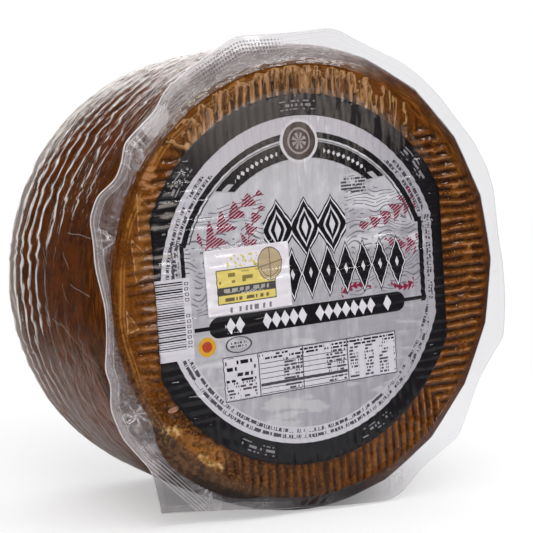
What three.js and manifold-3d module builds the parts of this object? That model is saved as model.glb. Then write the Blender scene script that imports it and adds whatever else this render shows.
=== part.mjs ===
// A whole aged sheep's milk cheese, sealed in clear vacuum film.
//
// The wheel stands on its rim. Its axis runs along Y and its labelled face looks towards -Y.
// Sizes are millimetres. While the pieces are built, the axis is the line x = 0, z = 0 and
// y is the depth behind the ridge tops of the labelled face.

import * as THREE from 'three';
import { mergeVertices } from 'three/addons/utils/BufferGeometryUtils.js';
import Module from 'manifold-3d';

const wasm = await Module();
wasm.setup();

// Wheel
const THICKNESS = 101;
const EDGE_RADIUS = 96;
const SIDE_BULGE = 2;
const EDGE_ROUNDING = 9.5;
const FLAT_SPOT = 0.8;

// Ridges that the pressing boards leave on both faces, in four mitred sectors
const RIDGE_PITCH = 4;
const RIDGE_DEPTH = 1;
const RIDGE_RADIUS = 84.5;
const RIDGE_TURN = THREE.MathUtils.degToRad(5);
const SECTORS = 4;

// Shallow bands that the press mould leaves round the side
const BAND_START = 21;
const BAND_END = 90;
const BAND_PITCH = 9.5;
const BAND_DEPTH = 0.6;

// Printed label on the face, a disc with its left and right sides cut straight
const LABEL_RADIUS = 75.8;
const LABEL_CENTRE_X = -2.5;
const LABEL_LEFT_CUT = 69.1;
const LABEL_RIGHT_CUT = 68.8;
const LABEL_THICKNESS = 0.6;
const LABEL_SAG = 0.6;
const LABEL_TURN = THREE.MathUtils.degToRad(4.5);

// Paper sticker on the label
const STICKER_WIDTH = 38.6;
const STICKER_HEIGHT = 26.2;
const STICKER_THICKNESS = 0.5;
const STICKER_CORNER = 0.6;
const STICKER_CENTRE = [-30.9, 1.5];
const STICKER_TURN = THREE.MathUtils.degToRad(5);

// Sealed rim of the film, which stands out all round just behind the face
const RIM_THICKNESS = 1;
const RIM_DEPTH = 2.6;
const RIM_SIDES = 144;
const RIM_LOW_DEPTH = 4.6;
const RIM_LOW_ANGLE = THREE.MathUtils.degToRad(228);
const RIM_LOW_SPREAD = THREE.MathUtils.degToRad(26);
const RIM_RUFFLE = 0.9;
const RIM_RUFFLE_COUNT = 11;

// Where the rim was cut off, seen from the front: x and z of the corners of its outline
const RIM_OUTLINE = [
  [102, 5], [99.5, 20], [95.5, 37], [91, 47], [77, 66], [61, 80.5], [44.5, 91], [28.5, 97],
  [11, 102.5], [-4, 101], [-19, 99], [-35, 97.5], [-41, 93.5], [-55.5, 84.5], [-69, 71.5],
  [-83, 55], [-87, 41], [-95, 35], [-97.5, 26], [-96, 8], [-97, -8], [-93, -32], [-89, -50],
  [-84.5, -58.5], [-73, -72], [-68, -91], [-29, -93.5], [10, -96.5], [39, -96.8], [48, -94.5],
  [59, -84], [77, -72], [83.5, -59], [89.5, -48], [96, -39], [103, -30], [103, -10],
];

// Room that is left between pieces that touch
const GAP = 0.3;

// Collects the triangles of one closed skin, each turned counter-clockwise seen from outside
class Skin {
  constructor() {
    this.numbers = [];
  }

  triangle(a, b, c) {
    this.numbers.push(...a, ...b, ...c);
  }

  quad(a, b, c, d) {
    this.triangle(a, b, c);
    this.triangle(a, c, d);
  }

  // Joins two rings of points. The rings have the same count, or one has twice the other's.
  ringStrip(near, far) {
    const steps = Math.min(near.length, far.length);
    for (let k = 0; k < steps; k += 1) {
      const next = (k + 1) % steps;
      if (near.length === far.length) {
        this.quad(near[k], far[k], far[next], near[next]);
      } else if (near.length > far.length) {
        const middle = near[2 * k + 1];
        this.triangle(near[2 * k], far[k], middle);
        this.triangle(middle, far[k], far[next]);
        this.triangle(middle, far[next], near[2 * next]);
      } else {
        const middle = far[2 * k + 1];
        this.triangle(near[k], far[2 * k], middle);
        this.triangle(near[k], middle, near[next]);
        this.triangle(near[next], middle, far[2 * next]);
      }
    }
  }

  geometry() {
    const loose = new THREE.BufferGeometry();
    loose.setAttribute('position', new THREE.Float32BufferAttribute(this.numbers, 3));
    return mergeVertices(loose, 1e-3);
  }
}

// A point of one sector: how far it lies along the sector's ridges and across them
function sectorPoint(sector, along, across) {
  const turn = RIDGE_TURN + sector * Math.PI / 2;
  return {
    x: along * Math.cos(turn) - across * Math.sin(turn),
    z: along * Math.sin(turn) + across * Math.cos(turn),
  };
}

// How far below the ridge tops the surface lies, from 0 on a top to 1 in a groove
function grooveShare(across) {
  const turns = Math.abs(across) / RIDGE_PITCH;
  return Math.abs(1 - 2 * (turns - Math.floor(turns)));
}

// Covers a face with the mitred ridges. reach(sector, across) is where a ridge ends,
// corner(sector) is where the mitre that starts the sector ends, and depthOf(across) is
// the depth of the surface. The points of the outline come back as a ring.
function ridgedFace(skin, reach, corner, depthOf, facesFront) {
  const step = RIDGE_PITCH / 2;
  const ring = [];
  const put = (sector, along, across) => {
    const spot = sectorPoint(sector, along, across);
    return [spot.x, depthOf(across), spot.z];
  };
  const cover = (...points) => {
    const turned = facesFront ? points : points.reverse();
    if (turned.length === 3) {
      skin.triangle(...turned);
    } else {
      skin.quad(...turned);
    }
  };
  for (let sector = 0; sector < SECTORS; sector += 1) {
    const start = corner(sector) * Math.SQRT1_2;
    const end = corner((sector + 1) % SECTORS) * Math.SQRT1_2;
    const first = -Math.ceil(start / step) + 1;
    const last = Math.ceil(end / step) - 1;
    ring.push(put(sector, start, -start));
    for (let line = first; line <= last; line += 1) {
      const across = line * step;
      const inner = put(sector, Math.abs(across), across);
      const outer = put(sector, reach(sector, across), across);
      if (line === first) {
        cover(put(sector, start, -start), outer, inner);
      }
      if (line === last) {
        cover(inner, outer, put(sector, end, end));
      } else {
        const beyond = across + step;
        const nextOuter = put(sector, reach(sector, beyond), beyond);
        cover(inner, outer, nextOuter, put(sector, Math.abs(beyond), beyond));
      }
      ring.push(outer);
    }
  }
  return ring;
}

// Radius of the swelling side at a depth behind the front face
function sideRadius(depth) {
  const share = (2 * depth) / THICKNESS - 1;
  return EDGE_RADIUS + SIDE_BULGE * (1 - share * share);
}

// Radius of the whole outline, with the rounded front edge
function wheelRadius(depth) {
  const inset = Math.max(0, EDGE_ROUNDING - depth);
  return sideRadius(depth) - EDGE_ROUNDING + Math.sqrt(EDGE_ROUNDING ** 2 - inset ** 2);
}

// Rows of the side from the front edge to the rear one: depth, radius and how many
// points of the ridge ring are skipped for each one that is kept
function sideRows() {
  const rows = [];
  const edgeSteps = 4;
  const lipRadius = EDGE_RADIUS - EDGE_ROUNDING;
  rows.push({ depth: 0, radius: lipRadius, every: 1 });
  for (let k = 1; k <= edgeSteps; k += 1) {
    const angle = (k / edgeSteps) * Math.PI / 2;
    const depth = EDGE_ROUNDING * (1 - Math.cos(angle));
    rows.push({ depth, radius: wheelRadius(depth), every: k === 1 ? 2 : 4 });
  }
  for (let depth = BAND_START; depth < BAND_END; depth += BAND_PITCH) {
    const groove = depth + BAND_PITCH / 2;
    rows.push({ depth, radius: sideRadius(depth), every: 4 });
    rows.push({ depth: groove, radius: sideRadius(groove) - BAND_DEPTH, every: 4 });
  }
  for (let k = edgeSteps; k >= 1; k -= 1) {
    const angle = (k / edgeSteps) * Math.PI / 2;
    const inset = EDGE_ROUNDING * (1 - Math.cos(angle));
    rows.push({ depth: THICKNESS - inset, radius: wheelRadius(inset), every: k === 1 ? 2 : 4 });
  }
  rows.push({ depth: THICKNESS, radius: lipRadius, every: 1 });
  return rows;
}

function wheelGeometry() {
  const skin = new Skin();
  const reach = (sector, across) => Math.sqrt(RIDGE_RADIUS ** 2 - across ** 2);
  const corner = () => RIDGE_RADIUS;
  const frontDepth = (across) => RIDGE_DEPTH * grooveShare(across);
  const backDepth = (across) => THICKNESS - RIDGE_DEPTH * grooveShare(across);
  const frontRing = ridgedFace(skin, reach, corner, frontDepth, true);
  const backRing = ridgedFace(skin, reach, corner, backDepth, false);
  let near = frontRing;
  for (const row of sideRows()) {
    const far = frontRing
      .filter((point, index) => index % row.every === 0)
      .map(([x, , z]) => {
        const scale = row.radius / Math.hypot(x, z);
        return [x * scale, row.depth, z * scale];
      });
    skin.ringStrip(near, far);
    near = far;
  }
  skin.ringStrip(near, backRing);
  return skin.geometry();
}

// Turns a closed three.js geometry into a solid that can be cut
function solidOf(geometry) {
  const mesh = new wasm.Mesh({
    numProp: 3,
    vertProperties: new Float32Array(geometry.attributes.position.array),
    triVerts: new Uint32Array(geometry.index.array),
  });
  return new wasm.Manifold(mesh);
}

// Turns a solid back into a three.js geometry
function geometryOf(solid) {
  const mesh = solid.getMesh();
  const geometry = new THREE.BufferGeometry();
  geometry.setAttribute('position', new THREE.BufferAttribute(mesh.vertProperties, 3));
  geometry.setIndex(new THREE.BufferAttribute(mesh.triVerts, 1));
  return geometry;
}

// The block that takes the flat spot off the underside
function floorBlock() {
  const height = 10;
  const block = new THREE.BoxGeometry(120, 2 * THICKNESS, height);
  const restHeight = -(EDGE_RADIUS + SIDE_BULGE) + FLAT_SPOT;
  block.translate(0, THICKNESS / 2, restHeight - height / 2);
  block.deleteAttribute('normal');
  block.deleteAttribute('uv');
  return mergeVertices(block);
}

function makeWheel() {
  const solid = solidOf(wheelGeometry()).subtract(solidOf(floorBlock()));
  const rind = new THREE.MeshStandardMaterial({ color: 0x6b3d1a, roughness: 0.38, metalness: 0 });
  const wheel = new THREE.Mesh(geometryOf(solid), rind);
  wheel.name = 'cheese_wheel';
  return wheel;
}

// Where a straight line from one point in one direction leaves the label's outline
function labelReach(x, z, dx, dz) {
  const fromCentre = x - LABEL_CENTRE_X;
  const half = fromCentre * dx + z * dz;
  const rest = fromCentre ** 2 + z ** 2 - LABEL_RADIUS ** 2;
  const toArc = -half + Math.sqrt(half * half - rest);
  const towards = dx * Math.cos(LABEL_TURN) + dz * Math.sin(LABEL_TURN);
  const offset = fromCentre * Math.cos(LABEL_TURN) + z * Math.sin(LABEL_TURN);
  const cut = towards > 0 ? LABEL_RIGHT_CUT - offset : -LABEL_LEFT_CUT - offset;
  const toCut = cut / towards;
  return toCut > 0 ? Math.min(toArc, toCut) : toArc;
}

// The label hangs over the ridges like a thin sheet and sags a little into each groove
function labelGeometry() {
  const skin = new Skin();
  const reach = (sector, across) => {
    const start = sectorPoint(sector, Math.abs(across), across);
    const ahead = sectorPoint(sector, 1, 0);
    return Math.abs(across) + labelReach(start.x, start.z, ahead.x, ahead.z);
  };
  const corner = (sector) => {
    const ahead = sectorPoint(sector, Math.SQRT1_2, -Math.SQRT1_2);
    return labelReach(0, 0, ahead.x, ahead.z);
  };
  const backDepth = (across) => -GAP + LABEL_SAG * grooveShare(across);
  const frontDepth = (across) => backDepth(across) - LABEL_THICKNESS;
  const frontRing = ridgedFace(skin, reach, corner, frontDepth, true);
  const backRing = ridgedFace(skin, reach, corner, backDepth, false);
  skin.ringStrip(frontRing, backRing);
  return skin.geometry();
}

function makeLabel() {
  const print = new THREE.MeshStandardMaterial({ color: 0xb4b4ba, roughness: 0.35, metalness: 0.2 });
  const label = new THREE.Mesh(labelGeometry(), print);
  label.name = 'face_label';
  return label;
}

function makeSticker() {
  const halfWidth = STICKER_WIDTH / 2;
  const halfHeight = STICKER_HEIGHT / 2;
  const corner = STICKER_CORNER;
  const sheet = new THREE.Shape();
  sheet.moveTo(-halfWidth + corner, -halfHeight);
  sheet.lineTo(halfWidth - corner, -halfHeight);
  sheet.absarc(halfWidth - corner, -halfHeight + corner, corner, -Math.PI / 2, 0);
  sheet.lineTo(halfWidth, halfHeight - corner);
  sheet.absarc(halfWidth - corner, halfHeight - corner, corner, 0, Math.PI / 2);
  sheet.lineTo(-halfWidth + corner, halfHeight);
  sheet.absarc(-halfWidth + corner, halfHeight - corner, corner, Math.PI / 2, Math.PI);
  sheet.lineTo(-halfWidth, -halfHeight + corner);
  sheet.absarc(-halfWidth + corner, -halfHeight + corner, corner, Math.PI, 1.5 * Math.PI);
  const settings = { depth: STICKER_THICKNESS, bevelEnabled: false, curveSegments: 3 };
  const geometry = new THREE.ExtrudeGeometry(sheet, settings);
  const paper = new THREE.MeshStandardMaterial({ color: 0xf0eef0, roughness: 0.5, metalness: 0 });
  geometry.rotateX(Math.PI / 2);
  const sticker = new THREE.Mesh(geometry, paper);
  sticker.name = 'paper_sticker';
  sticker.rotation.y = -STICKER_TURN;
  sticker.position.set(STICKER_CENTRE[0], -2 * GAP - LABEL_THICKNESS, STICKER_CENTRE[1]);
  return sticker;
}

// Radius of the rim's cut outline in one direction
function rimOuterRadius(angle) {
  const dx = Math.cos(angle);
  const dz = Math.sin(angle);
  for (let k = 0; k < RIM_OUTLINE.length; k += 1) {
    const [ax, az] = RIM_OUTLINE[k];
    const [bx, bz] = RIM_OUTLINE[(k + 1) % RIM_OUTLINE.length];
    const startSide = dx * az - dz * ax;
    const endSide = dx * bz - dz * bx;
    if (startSide <= 0 && endSide > 0 && dx * ax + dz * az > 0) {
      const share = startSide / (startSide - endSide);
      return Math.hypot(ax + share * (bx - ax), az + share * (bz - az));
    }
  }
  throw new Error('the rim outline is not closed');
}

// Depth of the rim's middle: it hangs back at its lower left and its free edge is ruffled
function rimDepth(angle, outward) {
  const away = Math.atan2(Math.sin(angle - RIM_LOW_ANGLE), Math.cos(angle - RIM_LOW_ANGLE));
  const low = RIM_LOW_DEPTH * Math.exp(-((away / RIM_LOW_SPREAD) ** 2));
  const ruffle = RIM_RUFFLE * Math.sin(RIM_RUFFLE_COUNT * angle) * outward;
  return RIM_DEPTH + low + ruffle;
}

function rimGeometry() {
  const skin = new Skin();
  const half = RIM_THICKNESS / 2;
  const corners = [
    [0, -half], [0.5, -half], [1, -half], [1, half], [0.5, half], [0, half],
  ];
  const rings = corners.map(([outward, shift]) => {
    const ring = [];
    for (let k = 0; k < RIM_SIDES; k += 1) {
      const angle = (k / RIM_SIDES) * 2 * Math.PI;
      const depth = rimDepth(angle, outward) + shift;
      const inner = wheelRadius(rimDepth(angle, 0) + half) + GAP;
      const radius = inner + outward * (rimOuterRadius(angle) - inner);
      ring.push([radius * Math.cos(angle), depth, radius * Math.sin(angle)]);
    }
    return ring;
  });
  rings.forEach((ring, index) => skin.ringStrip(ring, rings[(index + 1) % rings.length]));
  return skin.geometry();
}

function makeFilmRim() {
  const film = new THREE.MeshStandardMaterial({
    color: 0xa9a2a6, roughness: 0.25, metalness: 0, transparent: true, opacity: 0.55,
  });
  const rim = new THREE.Mesh(rimGeometry(), film);
  rim.name = 'film_rim';
  return rim;
}

// Puts the origin under the middle of the whole, on the surface that the wheel stands on
function standOnFloor(group) {
  const box = new THREE.Box3().setFromObject(group, true);
  const middle = box.getCenter(new THREE.Vector3());
  group.position.set(-middle.x, -middle.y, -box.min.z);
  group.updateMatrixWorld(true);
  return group;
}

const packedCheese = new THREE.Group();
packedCheese.add(makeWheel(), makeLabel(), makeSticker(), makeFilmRim());

export default standOnFloor(packedCheese);
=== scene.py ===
"""A whole aged sheep's milk cheese that stands on its rim, sealed in clear vacuum film.

The rind, the printed label, the paper sticker, the clinging film and its standing rim are separate
pieces. Sizes are written in millimetres, as they are measured on a real wheel. Places on the wheel
are given in its own terms: x and z from its axis, and depth behind the ridge tops of the labelled face.
"""

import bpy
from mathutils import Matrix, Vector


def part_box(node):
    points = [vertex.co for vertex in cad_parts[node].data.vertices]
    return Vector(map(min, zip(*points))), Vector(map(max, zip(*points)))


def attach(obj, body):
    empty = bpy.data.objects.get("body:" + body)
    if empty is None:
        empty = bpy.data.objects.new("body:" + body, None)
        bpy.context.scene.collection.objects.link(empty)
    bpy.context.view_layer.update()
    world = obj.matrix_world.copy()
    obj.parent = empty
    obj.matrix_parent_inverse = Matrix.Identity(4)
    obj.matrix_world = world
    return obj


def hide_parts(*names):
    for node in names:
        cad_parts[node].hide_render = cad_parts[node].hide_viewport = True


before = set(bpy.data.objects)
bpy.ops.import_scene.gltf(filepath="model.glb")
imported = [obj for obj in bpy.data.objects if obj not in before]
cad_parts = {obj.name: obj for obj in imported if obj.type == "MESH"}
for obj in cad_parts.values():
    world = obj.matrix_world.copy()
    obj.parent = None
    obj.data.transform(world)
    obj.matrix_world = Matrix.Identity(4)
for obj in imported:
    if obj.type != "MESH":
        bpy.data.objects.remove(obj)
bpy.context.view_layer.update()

import ast
import logging
import math
from dataclasses import dataclass, field
from enum import Enum

import bmesh
import bpy
import numpy as np
from mathutils import Vector

Tree = bpy.types.NodeTree
Socket = bpy.types.NodeSocket
MM = 0.001
MERGE_DISTANCE = 0.002 * MM
log = logging.getLogger("cheese")


class Slot(Enum):
    """Names of the four material slots: rind, label print, sticker paper and clear film."""

    RIND = "rind"
    LABEL = "label_print"
    STICKER = "sticker_paper"
    FILM = "clear_film"


class Sector(Enum):
    """The four mitred sectors of a pressed face, by the direction in which their ridges run out."""

    RIGHT = 0
    TOP = 1
    LEFT = 2
    BOTTOM = 3

    def directions(self, turn: float) -> tuple[np.ndarray, np.ndarray]:
        """Gives the unit directions along and across the ridges.

        Args:
            turn: how far the pattern is turned on the face, in radians.

        Returns:
            Two (x, z) vectors, along the ridges and across them.
        """
        angle = turn + self.value * math.pi / 2
        along = np.array([math.cos(angle), math.sin(angle)])
        return along, np.array([-along[1], along[0]])


def linear(colour: str) -> tuple[float, float, float, float]:
    """Turns an sRGB hex colour into linear numbers.

    Args:
        colour: the colour as "#RRGGBB".

    Returns:
        Linear red, green, blue and an alpha of 1.
    """
    parts = [int(colour[k : k + 2], 16) / 255 for k in (1, 3, 5)]
    red, green, blue = (c / 12.92 if c <= 0.04045 else ((c + 0.055) / 1.055) ** 2.4 for c in parts)
    return red, green, blue, 1.0


def add_node(tree: Tree, kind: str, settings: dict = {}, links: dict = {}) -> bpy.types.Node:
    """Adds one node to a tree.

    Args:
        tree: the shader or geometry tree.
        kind: Blender's name for the kind of node.
        settings: properties of the node by name.
        links: for each input, by name or number, a socket to link or a value to set.

    Returns:
        The new node.
    """
    node = tree.nodes.new(kind)
    for name, value in settings.items():
        setattr(node, name, value)
    for key, source in links.items():
        if isinstance(source, Socket):
            tree.links.new(source, node.inputs[key])
        else:
            node.inputs[key].default_value = source
    return node


OPERATIONS = {
    ast.Add: "ADD", ast.Sub: "SUBTRACT", ast.Mult: "MULTIPLY", ast.Div: "DIVIDE", ast.Pow: "POWER",
    ast.Lt: "LESS_THAN", ast.Gt: "GREATER_THAN",
    "min": "MINIMUM", "max": "MAXIMUM", "abs": "ABSOLUTE", "floor": "FLOOR", "fract": "FRACT",
    "sqrt": "SQRT", "sin": "SINE", "cos": "COSINE", "atan2": "ARCTAN2", "exp": "EXPONENT",
}


def formula(tree: Tree, text: str, built: dict[str, object] | None = None, **values: object) -> Socket:
    """Builds the Math nodes of a written formula.

    Besides the usual operators and functions, "ramp(v, low, high)" climbs smoothly from 0 at low to 1
    at high, and "chance(v)" is a random number from 0 to 1 for each whole number v.

    Args:
        tree: the shader or geometry tree.
        text: the formula, in which a comparison gives 1 or 0.
        built: results of the parts built so far, for formulas that share them and have the same values.
        values: a socket or a number for each name in the formula.

    Returns:
        The socket that carries the result.
    """
    built = {} if built is None else built

    def build(part: ast.AST) -> object:
        """Gives the socket or number of one part of the formula, made once for each different part."""
        key = ast.dump(part)
        if key not in built:
            built[key] = make(part)
        return built[key]

    def make(part: ast.AST) -> object:
        """Turns one part of the formula into a socket or a number."""
        if isinstance(part, ast.Constant):
            return float(part.value)
        if isinstance(part, ast.Name):
            return values[part.id]
        if isinstance(part, ast.UnaryOp):
            return build(ast.BinOp(ast.Constant(-1.0), ast.Mult(), part.operand))
        if isinstance(part, ast.BinOp):
            kind, sources = OPERATIONS[type(part.op)], [build(part.left), build(part.right)]
        elif isinstance(part, ast.Compare):
            kind, sources = OPERATIONS[type(part.ops[0])], [build(part.left), build(part.comparators[0])]
        else:
            kind, sources = part.func.id, [build(argument) for argument in part.args]
        if kind == "ramp":
            links = dict(zip(("Value", "From Min", "From Max"), sources))
            settings = {"interpolation_type": "SMOOTHSTEP"}
            return add_node(tree, "ShaderNodeMapRange", settings, links).outputs[0]
        if kind == "chance":
            links = {"W": sources[0]}
            return add_node(tree, "ShaderNodeTexWhiteNoise", {"noise_dimensions": "1D"}, links).outputs[0]
        settings = {"operation": OPERATIONS.get(kind, kind)}
        return add_node(tree, "ShaderNodeMath", settings, dict(enumerate(sources))).outputs[0]

    return build(ast.parse(text).body[0].value)


# from 0 to 1 towards the lower right, where the ridges run on closer to the edge
TO_LOW_RIGHT = "ramp(x / r - z / r * 0.7, -0.1, 0.6)"


def patch_mesh(
    name: str, patches: list[np.ndarray], values: dict[str, list[np.ndarray]] = {}
) -> bpy.types.Object:
    """Joins grids of points into one closed mesh with its faces outwards.

    Args:
        name: the name of the object.
        patches: arrays of points in metres, rows by columns by 3.
        values: for each attribute name, one array of numbers for each patch, rows by columns.

    Returns:
        The object, linked to the scene.
    """
    points, faces, start = [], [], 0
    for patch in patches:
        rows, columns = patch.shape[:2]
        index = start + np.arange(rows * columns).reshape(rows, columns)
        corners = (index[:-1, :-1], index[1:, :-1], index[1:, 1:], index[:-1, 1:])
        faces.append(np.stack([c.ravel() for c in corners], 1))
        points.append(patch.reshape(-1, 3))
        start += rows * columns
    mesh = bpy.data.meshes.new(name)
    mesh.from_pydata(np.concatenate(points).tolist(), [], np.concatenate(faces).tolist())
    for label, parts in values.items():
        attribute = mesh.attributes.new(label, "FLOAT", "POINT")
        attribute.data.foreach_set("value", np.concatenate([p.ravel() for p in parts]).astype(np.float32))
    cleaner = bmesh.new()
    cleaner.from_mesh(mesh)
    bmesh.ops.remove_doubles(cleaner, verts=cleaner.verts, dist=MERGE_DISTANCE)
    bmesh.ops.dissolve_degenerate(cleaner, edges=cleaner.edges, dist=MERGE_DISTANCE)
    bmesh.ops.recalc_face_normals(cleaner, faces=cleaner.faces)
    cleaner.to_mesh(mesh)
    cleaner.free()
    piece = bpy.data.objects.new(name, mesh)
    bpy.context.scene.collection.objects.link(piece)
    return piece


def grow(piece: bpy.types.Object, tree: Tree, inputs: dict[str, object]) -> None:
    """Runs a geometry tree on a piece and keeps the result as its plain mesh.

    Args:
        piece: the object that the tree starts from.
        tree: the geometry node tree.
        inputs: values of the tree's named inputs; those left out keep their defaults.
    """
    modifier = piece.modifiers.new(tree.name, "NODES")
    modifier.node_group = tree
    for item in tree.interface.items_tree:
        if item.name in inputs:
            modifier[item.identifier] = inputs[item.name]
    graph = bpy.context.evaluated_depsgraph_get()
    mesh = bpy.data.meshes.new_from_object(piece.evaluated_get(graph))
    piece.modifiers.remove(modifier)
    piece.data = mesh


def hand_over(piece: bpy.types.Object, node: str) -> None:
    """Hangs a finished piece on the frame's root and hides the solid that it stands for.

    Args:
        piece: the finished object.
        node: the solid of the frame that it replaces.
    """
    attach(piece, "root")
    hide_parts(node)


@dataclass(frozen=True)
class WheelForm:
    """Where the wheel stands and its driving sizes in millimetres, the places read from the frame."""

    axis_x: float
    axis_z: float
    front_y: float
    thickness: float
    edge_radius: float = 96.0
    side_bulge: float = 2.0
    edge_rounding: float = 9.5
    turn: float = math.radians(5)

    @classmethod
    def from_frame(cls) -> "WheelForm":
        """Reads the place of the wheel's axis and faces from its solid."""
        low, high = (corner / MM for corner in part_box("cheese_wheel"))
        radius = (high.x - low.x) / 2
        return cls((low.x + high.x) / 2, high.z - radius, low.y, high.y - low.y)

    @property
    def lip_radius(self) -> float:
        """Where the flat face ends and the rounded edge starts."""
        return self.edge_radius - self.edge_rounding

    def place(self, x: np.ndarray, depth: np.ndarray, z: np.ndarray) -> np.ndarray:
        """Turns wheel places in millimetres into points of the frame in metres.

        Args:
            x: distance to the right of the axis.
            depth: distance behind the ridge tops of the labelled face.
            z: height over the axis.

        Returns:
            An array of points with a last dimension of 3.
        """
        x, depth, z = np.broadcast_arrays(x, depth, z)
        return np.stack([x + self.axis_x, depth + self.front_y, z + self.axis_z], -1) * MM

    def side_radius(self, depth: np.ndarray) -> np.ndarray:
        """Radius of the swelling side, without the rounded edges, at a depth."""
        return self.edge_radius + self.side_bulge * (1 - (2 * depth / self.thickness - 1) ** 2)

    def side_profile(self, edge_rows: int, side_rows: int) -> np.ndarray:
        """Gives the outline of the side from the front lip to the rear lip.

        Args:
            edge_rows: steps round each rounded edge.
            side_rows: steps along the side between them.

        Returns:
            Rows of depth and radius.
        """
        swing = np.linspace(0, math.pi / 2, edge_rows + 1)
        inset = self.edge_rounding * (1 - np.cos(swing))
        drop = self.edge_rounding * (1 - np.sin(swing))
        side = np.linspace(self.edge_rounding, self.thickness - self.edge_rounding, side_rows + 1)[1:-1]
        front = np.stack([inset, self.side_radius(inset) - drop], 1)
        rear = np.stack([self.thickness - inset, self.side_radius(self.thickness - inset) - drop], 1)
        front[0, 1] = rear[0, 1] = self.lip_radius
        return np.concatenate([front, np.stack([side, self.side_radius(side)], 1), rear[::-1]])

    def skin_patches(
        self, lines: int = 180, front_rows: int = 28, back_rows: int = 12, edge_rows: int = 9,
        side_rows: int = 66,
    ) -> list[np.ndarray]:
        """Covers the whole wheel with four patches whose lines run along the pressed ridges.

        Args:
            lines: ridge-wise lines in each sector.
            front_rows: steps from a mitre to the lip on the labelled face, closer near the lip.
            back_rows: the same on the plain face.
            edge_rows: steps round each rounded edge.
            side_rows: steps along the side.

        Returns:
            One patch for each sector.
        """
        corner = self.lip_radius / math.sqrt(2)
        across = np.linspace(-corner, corner, lines + 1)[:, None]
        reach = np.sqrt(np.maximum(self.lip_radius**2 - across**2, corner**2))
        on_front, on_back = (
            np.abs(across) + (1 - np.linspace(1, 0, rows + 1)[None, :] ** 2.2) * (reach - np.abs(across))
            for rows in (front_rows, back_rows)
        )
        profile = self.side_profile(edge_rows, side_rows)[1:-1]
        grown = profile[:, 1][None, :] / self.lip_radius
        along = np.concatenate([on_front, reach * grown, on_back[:, ::-1]], 1)
        beside = np.concatenate([across + 0 * on_front, across * grown, across + 0 * on_back], 1)
        at_back = np.full(back_rows + 1, self.thickness)
        depth = np.concatenate([np.zeros(front_rows + 1), profile[:, 0], at_back])
        patches = []
        for sector in Sector:
            ahead, aside = sector.directions(self.turn)
            x = along * ahead[0] + beside * aside[0]
            z = along * ahead[1] + beside * aside[1]
            patches.append(self.place(x, depth[None, :], z))
        return patches


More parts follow.
